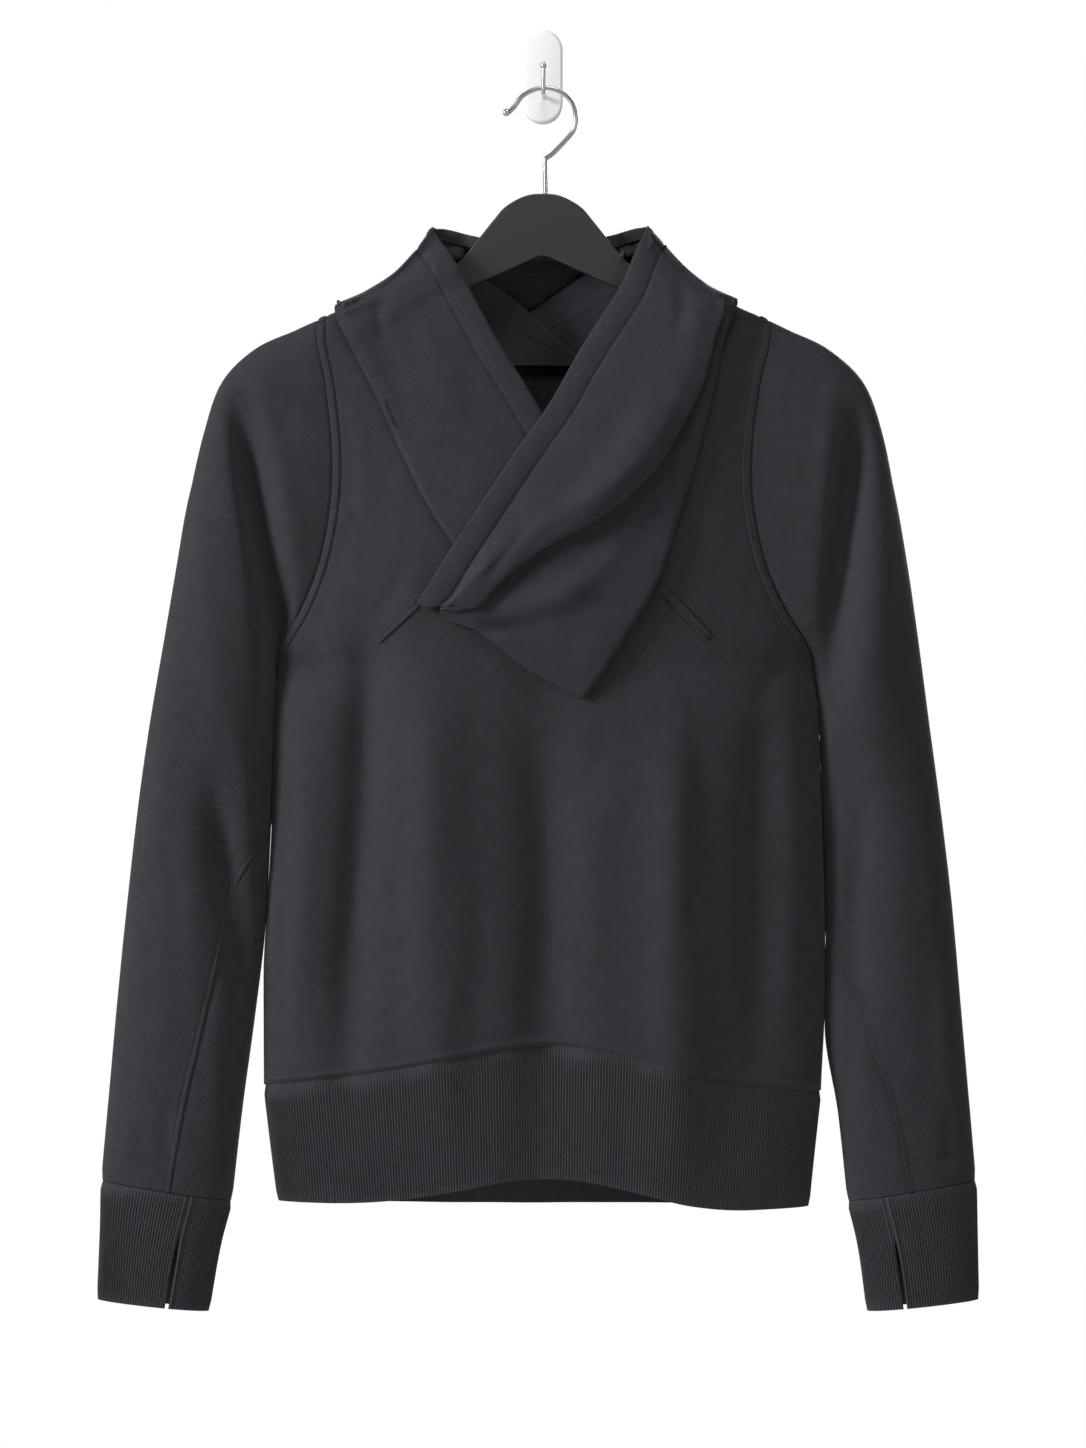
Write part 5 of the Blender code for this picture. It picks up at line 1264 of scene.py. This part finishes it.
class Below:
    """Cloth that something lies on, read for its depth under a point of the front view."""

    def __init__(self, grids, facing, form):
        self.facing, self.form = facing, form
        points, faces = [], []
        for grid, used in grids:
            base, columns = len(points), grid.shape[1]
            points.extend(Vector(p) for p in grid.reshape(-1, 3))
            run, rise = grid[:-1, 1:] - grid[:-1, :-1], grid[1:, :-1] - grid[:-1, :-1]
            towards = np.cross(run, rise)[..., 1] * facing
            for r, c in np.argwhere(used & (towards > 1e-6)):
                k = base + r * columns + c
                faces.append((k, k + 1, k + columns + 1, k + columns))
        flat = [Vector((p.x, 0.0, p.z)) for p in points]
        self.solid = BVHTree.FromPolygons(points, faces)
        self.shadow = BVHTree.FromPolygons(flat, faces)
        self.middles = [sum((points[k] for k in f), Vector()) / 4 for f in faces]

    def depth(self, x, z):
        """Depth at a point, carried past the cloth's edges along the general form."""
        way = Vector((0.0, -self.facing, 0.0))
        hit = self.solid.ray_cast(Vector((x, 300.0 * self.facing, z)), way)
        if hit[0] is not None:
            return hit[0].y
        near = self.shadow.find_nearest(Vector((x, 0.0, z)))
        spot, middle = near[0], self.middles[near[2]]
        inside = spot + (Vector((middle.x, 0.0, middle.z)) - spot).normalized() * 0.3
        hit = self.solid.ray_cast(Vector((inside.x, 300.0 * self.facing, inside.z)), way)
        y = hit[0].y if hit[0] is not None else middle.y
        return y + self.form(x, z) - self.form(spot.x, spot.z)


full = np.ones((front.shape[0] - 1, front.shape[1] - 1), bool)
chest = Below([(front, full), (back, back_used)], -1.0, lambda x, z: open_y(x, z))
behind = Below([(back, back_used)], 1.0, lambda x, z: open_y(x, z, True))


def collar_section(inner, outer, sag, sag_way, heights, base):
    """Points across one collar section; heights are pairs of distance and height."""
    span = outer - inner
    width = math.hypot(span[0], span[1])
    direction = span / width
    normal = np.array([-direction[1], direction[0]]) * sag_way
    points = []
    for distance, height in heights:
        t = np.clip(distance / width, 0.0, 1.0)
        shift = 1.0 if inner[0] < -60.0 else 1.35
        place = inner + direction * distance + normal * 1.05 * sag * math.sin(math.pi * t ** shift)
        points.append(np.array([place[0], base(place[0], place[1]) - height, place[1]]))
    return points


ACROSS = 22


def profile(width, edge, crest, roll, drop, out, lift):
    """Distances and heights across the collar, from its turned inner edge to its turned outer one."""
    turn = width * roll
    low = crest - drop
    rest = width - turn
    step = min(3.0, rest / 3.0)
    deep = lift * min(1.0, drop / 3.0)
    tuck = 7.0
    folded = [
        (turn + 0.5 * step, crest - 0.35 * drop),
        (turn + 0.5 * step, crest - 0.68 * drop),
        (turn - 1.0, low + 1.4),
        (turn - tuck, low + 1.0),
        (turn - tuck - 0.8, low + 0.1),
        (turn - tuck + 1.5, low - 0.5),
        (turn + 3.0, low - 0.3),
    ]
    plain = [(turn + (0.9 * k - 3.6) * step / 3.0, crest - drop * (k + 1) / 8.0) for k in range(7)]
    mixed = [
        (deep * a + (1 - deep) * c, deep * b + (1 - deep) * d) for (a, b), (c, d) in zip(folded, plain)
    ]
    return [
        (9.0 * lift, edge - 3.4 * lift),
        (2.0 * lift, edge - 3.3 * lift),
        (0.0, edge - 1.6 * lift),
        (1.4 * lift, edge - 0.1 * lift),
        (0.5 * BAND_WIDTH, edge + 0.9 * lift),
        (BAND_WIDTH - 1.5, edge + 0.3 * lift),
        (BAND_WIDTH + 1.5, edge + 0.4 * lift),
        (0.5 * (BAND_WIDTH + turn - 14.0), 0.5 * edge + 0.5 * crest + 0.5 * lift),
        (turn - 14.0, crest + 0.4 * lift),
        (turn - 5.0, crest - 0.12 * drop),
        *mixed,
        (width - 0.5 * max(rest - step, 2.0), 0.5 * low + 0.5 * out + 0.8 * deep),
        (width - 3.2, 0.25 * low + 0.75 * out if drop else out),
        (width - 0.1, out - 2.4 * lift),
        (width - 3.0, out - 4.9 * lift),
        (width - 13.0, out - 5.2 * lift),
    ]


def lapel_grid(rows, sag_way, sections, base):
    """Collar front, section by section from the neck ridge to its lower end."""
    grid = []
    for row in np.linspace(0.0, len(rows["lift"]) - 1.0, sections):
        read = {name: float(by_row(rows, name, row)) for name in rows}
        inner = np.array([read["inner_x"], read["inner_z"]])
        outer = np.array([read["outer_x"], read["outer_z"]])
        width = float(np.linalg.norm(outer - inner))
        lift = float(np.clip(read["lift"], 0.0, 1.0))
        heights = profile(width, read["edge"], read["crest"], read["roll"], read["drop"], read["out"], lift)
        grid.append(collar_section(inner, outer, read["sag"], sag_way, heights, base))
    grid = np.array(grid)
    grid[0, :, 1] = HANG_Y
    return grid


def ridge_turn(grid, side):
    """Turn the collar's edges under at the ridge, where it lies on the shoulder."""
    tip = grid[0, 19].copy()
    way = 1.0 if side == "left" else -1.0
    for column, reach in ((19, 0.0), (20, 3.0), (21, 13.0)):
        x = tip[0] + way * reach
        on_shoulder = SHOULDER_TIP_Z + SHOULDER_SLOPE * (SHOULDER_TIP_X - abs(x)) + RIDGE_LIFT
        z = 0.5 * (tip[2] + on_shoulder) if column == 19 else on_shoulder
        grid[0, column] = (x, HANG_Y, z)
    top, slope = grid[0, 4], unit(grid[0, 4] - grid[0, 2])
    drop = np.array([-slope[2], 0.0, slope[0]]) * (1.0 if slope[0] < 0 else -1.0)
    for column, reach, under in ((2, 0.0, 1.6), (1, 2.0, 3.3), (0, 9.0, 3.5)):
        grid[0, column] = top - slope * 9.0 + slope * reach + drop * under
    return grid


def collar_back_grid(left_ridge, right_ridge, sections):
    """Collar behind the neck, from one ridge to the other."""
    grid = [left_ridge]
    for row in np.linspace(0.0, len(COLLAR_BACK["lift"]) - 1.0, sections)[1:-1]:
        read = {name: float(by_row(COLLAR_BACK, name, row)) for name in COLLAR_BACK}
        inner = np.array([read["top_x"], read["top_z"]])
        outer = np.array([read["low_x"], read["low_z"]])
        width = float(np.linalg.norm(outer - inner))
        lift = float(np.clip(read["lift"], 0.0, 1.0))
        heights = profile(width, 3.6, 5.0, 0.90, 0.0, 7.2, lift)
        heights = [(distance, -height) for distance, height in heights]
        sag_way = 1.0 if read["top_x"] < 0.0 else -1.0
        grid.append(collar_section(inner, outer, read["sag"], sag_way, heights, behind.depth))
    grid.append(right_ridge)
    return np.array(grid)


def kept_clear(grid, surface, turned=3, passes=3, first=3):
    """Move points off the cloth below wherever the sheet between them would touch it."""
    rows, columns, _ = grid.shape
    for _ in range(passes):
        push = np.zeros((rows, columns))
        for r, c in np.ndindex(rows - 1, columns - 1):
            folded = c >= columns - turned or c < first
            need = 0.5 if folded else CLOTH + 0.5
            corners = (grid[r, c], grid[r, c + 1], grid[r + 1, c + 1], grid[r + 1, c])
            for u, v in ((0.5, 0.5), (0.0, 0.5), (0.5, 0.0), (0.0, 0.0)):
                near = (1 - u) * corners[0] + u * corners[1]
                far = (1 - u) * corners[3] + u * corners[2]
                spot = (1 - v) * near + v * far
                gap = surface.facing * (spot[1] - surface.depth(spot[0], spot[2]))
                if gap < need:
                    push[r:r + 2, c:c + 2] = np.maximum(push[r:r + 2, c:c + 2], need - gap)
        if push.max() < 0.05:
            break
        push = softened(push)
        push[0] = 0.0
        grid[:, :, 1] += surface.facing * push
    return grid


def softened(raised, passes=6):
    """Spread a field of heights so that it rises and falls slowly; folds move as one."""
    spread = raised.copy()
    for _ in range(passes):
        wide = np.pad(spread, 1, mode="edge")
        mean = 0.25 * (wide[:-2, 1:-1] + wide[2:, 1:-1] + wide[1:-1, :-2] + wide[1:-1, 2:])
        spread = np.maximum(raised, 0.4 * spread + 0.6 * mean)
        spread[:, :7] = spread[:, :7].max(axis=1, keepdims=True)
        spread[:, 9:17] = spread[:, 9:17].max(axis=1, keepdims=True)
        spread[:, -5:] = spread[:, -5:].max(axis=1, keepdims=True)
    return spread


def arched(grid, facing, sections):
    """Round the collar over the shoulder, from its ridge down to a section below it."""
    walk = np.linalg.norm(np.diff(grid[:sections + 1, :, [0, 2]], axis=0), axis=2)
    share = np.concatenate([np.zeros((1, grid.shape[1])), np.cumsum(walk, axis=0)])
    share = share / np.maximum(share[-1:], 1e-6)
    ends = grid[sections:sections + 1, :, 1] - HANG_Y
    arch = HANG_Y + ends * np.sqrt(np.clip(1 - (1 - share) ** 2, 0.0, 1.0))
    forward = np.maximum(facing * arch, facing * grid[:sections + 1, :, 1])
    grid[:sections + 1, :, 1] = facing * forward


def lift_over(grid, cover):
    """Raise a sheet softly wherever it would touch the layer below it."""
    raised = np.zeros(grid.shape[:2])
    fine = refined(grid, 4 * (len(grid) - 1), 4 * (ACROSS - 1))
    for r, c in np.ndindex(*fine.shape[:2]):
        x, y, z = fine[r, c]
        hit = cover.solid.ray_cast(Vector((x, 300.0 * cover.facing, z)), Vector((0.0, -cover.facing, 0.0)))[0]
        if hit is None:
            continue
        turned = c < 10 or c > 4 * (ACROSS - 1) - 10
        short = (0.4 if turned else CLOTH + 0.6) - (hit.y - y)
        k = (min(len(grid) - 1, int(round(r / 4.0))), min(ACROSS - 1, int(round(c / 4.0))))
        raised[k] = max(raised[k], short)
    spread = softened(raised, 10)
    spread[:2] *= np.array([[0.0], [0.6]])
    grid[:, :, 1] -= spread


# Lower end of the over lapel, point by point across it
OVER_END = table(
    "x z",
    (-84.0, -388.0),
    (-89.0, -387.0),
    (-91.0, -386.4),
    (-89.8, -386.8),
    (-82.0, -388.4),
    (-75.5, -388.2),
    (-73.0, -388.0),
    (-70.0, -387.8),
    (-67.0, -387.6),
    (-64.5, -387.6),
    (-62.6, -388.4),
    (-62.8, -389.6),
    (-65.5, -390.2),
    (-71.0, -390.8),
    (-73.6, -392.2),
    (-70.6, -397.4),
    (-46.0, -406.5),
    (-12.0, -432.5),
    (26.0, -453.0),
    (29.4, -454.4),
    (26.5, -453.0),
    (18.0, -448.0),
)

under_grid = ridge_turn(lapel_grid(LAPEL_UNDER, 1.0, 21, chest.depth), "left")
over_grid = ridge_turn(lapel_grid(LAPEL_OVER, -1.0, 25, chest.depth), "right")
end = np.column_stack([OVER_END["x"], OVER_END["z"]])
for back_by, share in ((1, 1.0), (2, 0.45), (3, 0.12)):
    old = over_grid[-back_by][:, [0, 2]]
    moved = old + share * (end - over_grid[-1][:, [0, 2]]) if back_by > 1 else end
    for k in range(ACROSS):
        height = over_grid[-back_by][k, 1] - chest.depth(*old[k])
        over_grid[-back_by][k] = (moved[k][0], chest.depth(*moved[k]) + height, moved[k][1])
back_grid = collar_back_grid(under_grid[0], over_grid[0], 27)
kept_clear(under_grid, chest)
arched(under_grid, -1.0, 8)
held_back = back_grid[-1].copy()
kept_clear(back_grid, behind)
back_grid[-1] = held_back
arched(back_grid, 1.0, 7)
arched(back_grid[::-1], 1.0, 7)
for grid in (under_grid, over_grid):
    grid[:7, 3:18, 1] = np.minimum.accumulate(grid[:7, 3:18, 1], axis=0)
under_lapel = refined(under_grid, 120, 8 * (ACROSS - 1))
collar_back = refined(back_grid, 130, 6 * (ACROSS - 1))


def collar_relief(points, per, rows):
    """Stitched band line and creases of a collar piece, none of them on its ridges."""
    heights = creases(points, rows) if rows else np.zeros(points.shape[:2])
    heights += waves(points, 30.0, 0.25)
    heights *= smoothstep(1.0, 14.0, np.arange(points.shape[0]))[:, None]
    if rows is None:
        last = points.shape[0] - 1.0
        heights *= smoothstep(last - 1.0, last - 14.0, np.arange(points.shape[0]))[:, None]
    columns = np.arange(points.shape[1])
    outer = points.shape[1] - 1.0
    inside = smoothstep(0.0, 3.0 * per, columns) * smoothstep(outer, outer - 4.0 * per, columns)
    heights *= inside[None, :]
    line = np.exp(-(((columns - 5.5 * per) / (0.45 * per)) ** 2))
    ripple = 1.0 + 0.3 * np.sin(np.arange(points.shape[0]) * 1.9)[:, None]
    return heights - 0.75 * line[None, :] * ripple


under_lapel = pushed(under_lapel, collar_relief(under_lapel, 8, LAPEL_CREASES))
kept_clear(over_grid, chest)
arched(over_grid, -1.0, 8)
every = np.ones((under_lapel.shape[0] - 1, under_lapel.shape[1] - 1), bool)
under_cover = Below([(under_lapel, every)], -1.0, lambda x, z: 0.0)
lift_over(over_grid, under_cover)
over_lapel = refined(over_grid, 150, 8 * (ACROSS - 1))
over_lapel = over_lapel[:, ::-1]
over_relief = collar_relief(over_lapel[:, ::-1], 8, OVER_CREASES)[:, ::-1]
over_lapel = pushed(over_lapel, over_relief)
collar_back = collar_back[:, ::-1]
collar_back = pushed(collar_back, collar_relief(collar_back[:, ::-1], 6, None)[:, ::-1])

cloth_piece("collar_under", under_lapel, ["collar_right"], COLLAR_FLEECE)
cloth_piece("collar_over", over_lapel, ["collar_left"], COLLAR_FLEECE)
cloth_piece("collar_nape", collar_back, ["collar_back"], COLLAR_FLEECE)


def row_line(points, column, rows=slice(None)):
    normals = outward(points)
    return points[rows, column], normals[rows, column]


# Crossing bands inside the neck

nape = Below([(collar_back, np.ones((collar_back.shape[0] - 1, collar_back.shape[1] - 1), bool))], 1.0,
             lambda x, z: open_y(x, z, True))


def neck_band(name, rows, nodes):
    grid = []
    for v in np.linspace(0.0, 1.0, 25):
        line = []
        for row in np.linspace(0.0, len(rows["top_x"]) - 1.0, 49):
            read = {key: float(by_row(rows, key, row)) for key in rows}
            x = (1 - v) * read["low_x"] + v * read["top_x"]
            z = (1 - v) * read["low_z"] + v * read["top_z"]
            y = min(behind.depth(x, z), nape.depth(x, z)) - CLOTH - read["layer"] * NECK_LAYER
            line.append((x, y, z))
        grid.append(line)
    grid = np.array(grid)
    smooth = grid.copy()
    for _ in range(6):
        smooth[1:-1, 1:-1, 1] = 0.25 * (
            smooth[:-2, 1:-1, 1] + smooth[2:, 1:-1, 1] + smooth[1:-1, :-2, 1] + smooth[1:-1, 2:, 1]
        )
    gap, _ = edge_distance(smooth, smooth[-1])
    heights = -0.5 * np.exp(-(((gap - 15.0) / 1.1) ** 2)) - 0.8 * np.exp(-((gap / 0.9) ** 2))
    points = pushed(smooth, heights)
    # The tapes take the neck tape finish, whose colour is painted lighter to stand in for light inside the
    # neck.
    cloth_piece(name, points, nodes, PAINTED_LIGHT_TAPE)
    return points


right_band = neck_band("neck_tape_right", NECK_BAND_RIGHT, ["neck_band_right"])
left_band = neck_band("neck_tape_left", NECK_BAND_LEFT, ["neck_band_left"])


# Welts


def welt(name, i, nodes):
    """Narrow folded strip stitched flat on the chest, with a stitched box at its lower end."""
    top = np.array([WELTS["top_x"][i], WELTS["top_z"][i]])
    low = np.array([WELTS["low_x"][i], WELTS["low_z"][i]])
    run = unit(top - low)
    side = np.array([run[1], -run[0]])
    half = ((0.5, -0.2), (0.46, 0.7), (0.36, 1.15), (0.2, 1.0))
    shape = (*((-a, b) for a, b in half), (0.0, 0.85), *half[::-1])
    grid = []
    for v in np.linspace(0.0, 1.0, 29):
        rounded = min(1.0, 0.35 + 14.0 * min(v, 1 - v))
        line = []
        for u, height in shape:
            place = low + v * (top - low) + u * WELT_WIDTH * side
            line.append((place[0], chest.depth(*place) - 0.35 - height * rounded, place[1]))
        grid.append(line)
    points = refined(np.array(grid), 56, 24)
    bm = cloth_mesh(points, 0.3)
    piece = finished(name, bm, FLEECE, nodes)
    return points


welts = [welt("welt_strip_right", 0, ["welt_right"]), welt("welt_strip_left", 1, ["welt_left"])]


# Topstitching


def inset_line(points, edge_columns, edge, distance, rows):
    """Line of points at a distance from an edge, found row by row, with its normals."""
    gap, _ = edge_distance(points, edge)
    normals = outward(points)
    path, faces = [], []
    for r in rows:
        columns = edge_columns
        here = gap[r, columns]
        k = int(np.argmin(np.abs(here - distance)))
        if abs(here[k] - distance) > 1.2:
            continue
        c = columns[k]
        path.append(points[r, c])
        faces.append(normals[r, c])
    path = np.array(path)
    for _ in range(3):
        path[1:-1] = 0.5 * path[1:-1] + 0.25 * (path[:-2] + path[2:])
    return path, np.array(faces)


lines = []
width = front.shape[1]
for columns, edge in ((np.arange(0, 30), front_left), (np.arange(width - 30, width), front_right)):
    lines.append(inset_line(front, columns, edge[armpit_row:], 5.0, range(armpit_row, front.shape[0])))
width = back.shape[1]
for columns, edge in ((np.arange(width - 30, width), back_left), (np.arange(0, 30), back_right)):
    lines.append(inset_line(back, columns, edge[back_armpit:], 5.0, range(back_armpit, back.shape[0])))
stitches("armhole_stitching", [line for line in lines if len(line[0]) > 4])

seam_lines = []
for side in ("left", "right"):
    outer, _ = sleeves[side]
    normals = outward(outer)
    for column in (3, outer.shape[1] - 4):
        seam_lines.append((outer[:, column], normals[:, column]))
    row = 3
    seam_lines.append((outer[row], normals[row]))
stitches("sleeve_stitching", seam_lines)

hem_lines = []
for points in (front, back):
    normals = outward(points)
    hem_lines.append((points[6], normals[6]))
stitches("hem_stitching", hem_lines)

collar_lines = []
for points, column in (
    (under_lapel, int(5.5 * 8)), (over_lapel, over_lapel.shape[1] - 1 - int(5.5 * 8)),
    (collar_back, collar_back.shape[1] - 1 - int(5.5 * 6)),
):
    collar_lines.append(row_line(points, column))
over_normals = outward(over_lapel)
end_row = -1 - int(round(150 * 9.5 / 400))
last = over_lapel.shape[1] - 1
span = slice(last - int(18.6 * 8), last - int(15.6 * 8))
collar_lines.append((over_lapel[end_row, span], over_normals[end_row, span]))
for points in (right_band, left_band):
    normals = outward(points)
    row = points.shape[0] - 1 - int(round((points.shape[0] - 1) * 15.0 / 42.0))
    collar_lines.append((points[row], normals[row]))
stitches("collar_stitching", collar_lines)

welt_lines = []
for points in welts:
    normals = outward(points)
    for column in (4, points.shape[1] - 5):
        welt_lines.append((points[:, column], normals[:, column]))
    for row in (3, 8):
        welt_lines.append((points[row], normals[row]))
stitches("welt_stitching", welt_lines, pitch=2.0, length=1.5, width=0.34)


# Hanger, hook and wall plate


def board(name, outline, low_y, high_y, bevel, finish, nodes):
    """Flat board with rounded edges, from an outline."""
    bm = bmesh.new()
    face = bm.faces.new([bm.verts.new((x, high_y, z)) for x, z in outline])
    made = bmesh.ops.extrude_face_region(bm, geom=[face])
    moved = [v for v in made["geom"] if isinstance(v, bmesh.types.BMVert)]
    bmesh.ops.translate(bm, verts=moved, vec=(0.0, low_y - high_y, 0.0))
    bmesh.ops.recalc_face_normals(bm, faces=bm.faces[:])
    rims = [e for e in bm.edges if abs(e.verts[0].co.y - e.verts[1].co.y) < 1e-6]
    if high_y == 0.0:
        rims = [e for e in rims if e.verts[0].co.y < 0.5 * low_y]
    bmesh.ops.bevel(
        bm, geom=rims, offset=bevel, segments=4, profile=0.5, affect="EDGES", clamp_overlap=True, material=-1
    )
    return finished(name, bm, finish, nodes, sharp=40.0)


def arm_top(x):
    return SHOULDER_TIP_Z + SHOULDER_SLOPE * (SHOULDER_TIP_X - x) - ARM_DROP


def hanger():
    rows = np.linspace(0.0, len(HANGER_TOP["x"]) - 1.0, 41)
    half = [(float(by_row(HANGER_TOP, "x", r)), float(by_row(HANGER_TOP, "z", r))) for r in rows]
    bend = ARM_HALF_SPAN - ARM_TIP_RADIUS
    along = unit(np.array([1.0, -SHOULDER_SLOPE]))
    upward = np.array([-along[1], along[0]])
    low_z = HANGER_APEX_Z - SHOULDER_SLOPE * bend
    centre = np.array([bend, 0.5 * (arm_top(bend) + low_z)])
    radius = 0.5 * (arm_top(bend) - low_z) * along[0]
    for angle in np.radians(np.linspace(90.0, -90.0, 17)):
        point = centre + radius * (math.cos(angle) * along + math.sin(angle) * upward)
        half.append((float(point[0]), float(point[1])))
    for x in (5.0, 2.4):
        half.append((x, HANGER_APEX_Z - SHOULDER_SLOPE * x - 0.4 * (5.0 - x) / 5.0))
    mirrored = [(-x, z) for x, z in reversed(half)]
    outline = mirrored[:-1] + half + [(0.0, HANGER_APEX_Z - 0.9)]
    thick = 0.5 * HANGER_THICK
    board("hanger_board", outline, HANG_Y - thick, HANG_Y + thick, 1.1, LACQUER, ["hanger"])


def wire(name, points, radii, diameter, nodes):
    """Round wire along a smooth path, whose radius shrinks or swells where it is told."""
    bm = bmesh.new()
    around = 20
    rings = []
    side = np.array([1.0, 0.0, 0.02])
    points = np.array(points)
    for i, (point, radius) in enumerate(zip(points, radii)):
        run = unit(points[min(i + 1, len(points) - 1)] - points[max(i - 1, 0)])
        side = unit(side - run * np.dot(side, run))
        up = unit(np.cross(side, run))
        rings.append((point, side, up, 0.5 * diameter * radius))
    bmesh.ops.create_grid(bm, x_segments=around, y_segments=len(points) - 1, size=1.0)
    for v in bm.verts:
        r, c = divmod(v.index, around + 1)
        point, side, up, radius = rings[r]
        angle = 2 * math.pi * (c % around) / around
        v.co = Vector(point + radius * (math.cos(angle) * side + math.sin(angle) * up))
    bmesh.ops.remove_doubles(bm, verts=bm.verts[:], dist=1e-4)
    ends = [e for e in bm.edges if e.is_boundary]
    bmesh.ops.holes_fill(bm, edges=ends, sides=0)
    bmesh.ops.recalc_face_normals(bm, faces=bm.faces[:])
    return finished(name, bm, STEEL, nodes, sharp=50.0)


def ball_end(points, diameter):
    """Add a small ball to the end of a wire's path; returns the path and its radii."""
    points = [np.array(p, float) for p in points]
    run = unit(points[-1] - points[-2])
    centre = points[-1]
    path, radii = points[:-1], [1.0] * (len(points) - 1)
    for angle in np.radians(np.linspace(150.0, 12.0, 12)):
        path.append(centre + run * (0.35 - 1.0 * math.cos(math.pi - angle) * -0.9) * diameter)
        radii.append(1.55 * math.sin(angle))
    radii = radii[:len(points) - 1] + [max(r, 0.25) for r in radii[len(points) - 1:]]
    return path, radii


def hanger_hook():
    rows = np.linspace(0.0, len(HOOK["x"]) - 1.0, 110)
    points = [(float(by_row(HOOK, "x", r)), HANG_Y, float(by_row(HOOK, "z", r))) for r in rows]
    path, radii = ball_end(points, HOOK_WIRE)
    wire("hook_wire", path, radii, HOOK_WIRE, HOOK_NODES)


def wall_pin():
    rest = float(HOOK["z"].max()) - 0.5 * HOOK_WIRE - 0.3 - 0.5 * PIN_WIRE
    upright = HANG_Y - 0.5 * (HOOK_WIRE + PIN_WIRE) - 0.3
    bend = 2.6
    points = [(PIN_X, -PLATE_THICK + 0.2, rest), (PIN_X, 0.5 * upright, rest)]
    for angle in np.radians(np.linspace(0.0, 90.0, 13)):
        points.append((PIN_X, upright + bend - bend * math.sin(angle), rest + bend - bend * math.cos(angle)))
    points.extend([(PIN_X, upright, -5.0), (PIN_X, upright, PIN_TOP_Z)])
    path, radii = ball_end(points, PIN_WIRE)
    wire("pin_wire", path, radii, PIN_WIRE, ["wall_pin"])


def wall_plate():
    radius = 0.5 * PLATE_WIDTH
    straight = 0.5 * PLATE_HEIGHT - radius
    outline = []
    for way in (1.0, -1.0):
        for angle in np.radians(np.linspace(0.0, 180.0, 41)):
            outline.append((way * radius * math.cos(angle), way * (straight + radius * math.sin(angle))))
    board("plate", outline, -PLATE_THICK, 0.0, 2.4, PAINT, ["wall_plate"])


hanger()
hanger_hook()
wall_pin()
wall_plate()


# Floor, light and camera


EVEN_FLOOR = 0.85
FLOOR_HALF = 5.0
FLOOR_PLACE = (0.0, -2.75, -1.6)
CAMERA_DISTANCE = 3.9
CAMERA_HEIGHT = -0.4723
CHEST_Y = -0.06
SEEN_HEIGHT = 1.0426
SENSOR = 36.0
LIGHTS = (
    ("key", (-5.2, -2.4, 1.8), (0.0, -0.05, -0.45), (1.5, 1.8), 400.0),
    ("fill", (1.6, -2.6, -0.1), (0.05, -0.05, -0.55), (1.0, 1.2), 11.0),
    ("top", (0.1, -0.9, 1.5), (0.0, -0.1, -0.4), (1.0, 0.6), 14.0),
    ("behind", (0.9, 2.2, 0.5), (0.0, 0.0, -0.45), (1.4, 1.4), 50.0),
)


def area_light(name, place, aim, size, power):
    data = bpy.data.lights.new(name, "AREA")
    data.shape = "RECTANGLE"
    data.size, data.size_y = size
    data.energy = power
    made = bpy.data.objects.new(name, data)
    made.location = place
    made.rotation_euler = (Vector(aim) - Vector(place)).to_track_quat("-Z", "Y").to_euler()
    bpy.context.scene.collection.objects.link(made)
    return made


def floor_material():
    """Pale floor that the camera sees evenly lit, out to its far edge."""
    material = plain_material("pale_floor", (0.80, 0.80, 0.79), 0.8, 0.02, 60.0, bump=0.02)
    tree = material.node_tree
    output = next(n for n in tree.nodes if n.type == "OUTPUT_MATERIAL")
    surface = output.inputs["Surface"].links[0].from_socket
    seen = tree.nodes.new("ShaderNodeLightPath")
    share = math_node(tree, "MULTIPLY", seen.outputs["Is Camera Ray"], EVEN_FLOOR)
    even = tree.nodes.new("ShaderNodeEmission")
    even.inputs["Color"].default_value = (0.93, 0.93, 0.93, 1.0)
    mixed = tree.nodes.new("ShaderNodeMixShader")
    tree.links.new(share, mixed.inputs[0])
    tree.links.new(surface, mixed.inputs[1])
    tree.links.new(even.outputs[0], mixed.inputs[2])
    tree.links.new(mixed.outputs[0], output.inputs["Surface"])
    return material


def studio():
    scene = bpy.context.scene
    bm = bmesh.new()
    bmesh.ops.create_grid(bm, x_segments=1, y_segments=1, size=FLOOR_HALF)
    bmesh.ops.translate(bm, verts=bm.verts[:], vec=FLOOR_PLACE)
    mesh = bpy.data.meshes.new("studio_floor")
    bm.to_mesh(mesh)
    bm.free()
    floor = bpy.data.objects.new("studio_floor", mesh)
    scene.collection.objects.link(floor)
    mesh.materials.append(floor_material())

    world = scene.world or bpy.data.worlds.new("studio")
    scene.world = world
    world.use_nodes = True
    tree = world.node_tree
    tree.nodes.clear()
    seen = node(tree, "ShaderNodeBackground", Color=(1.0, 1.0, 1.0, 1.0), Strength=1.0)
    lit = node(tree, "ShaderNodeBackground", Color=(0.96, 0.97, 1.0, 1.0), Strength=0.10)
    path = node(tree, "ShaderNodeLightPath")
    mix = node(tree, "ShaderNodeMixShader")
    out = node(tree, "ShaderNodeOutputWorld")
    tree.links.new(path.outputs["Is Camera Ray"], mix.inputs[0])
    tree.links.new(lit.outputs[0], mix.inputs[1])
    tree.links.new(seen.outputs[0], mix.inputs[2])
    tree.links.new(mix.outputs[0], out.inputs["Surface"])

    for row in LIGHTS:
        area_light(*row)

    scene.view_settings.view_transform = "Standard"
    data = bpy.data.cameras.new("front_camera")
    data.lens = SENSOR * CAMERA_DISTANCE / SEEN_HEIGHT
    camera = bpy.data.objects.new("front_camera", data)
    camera.location = (0.0, CHEST_Y - CAMERA_DISTANCE, CAMERA_HEIGHT)
    camera.rotation_euler = (math.radians(90.0), 0.0, 0.0)
    scene.collection.objects.link(camera)
    scene.camera = camera


studio()
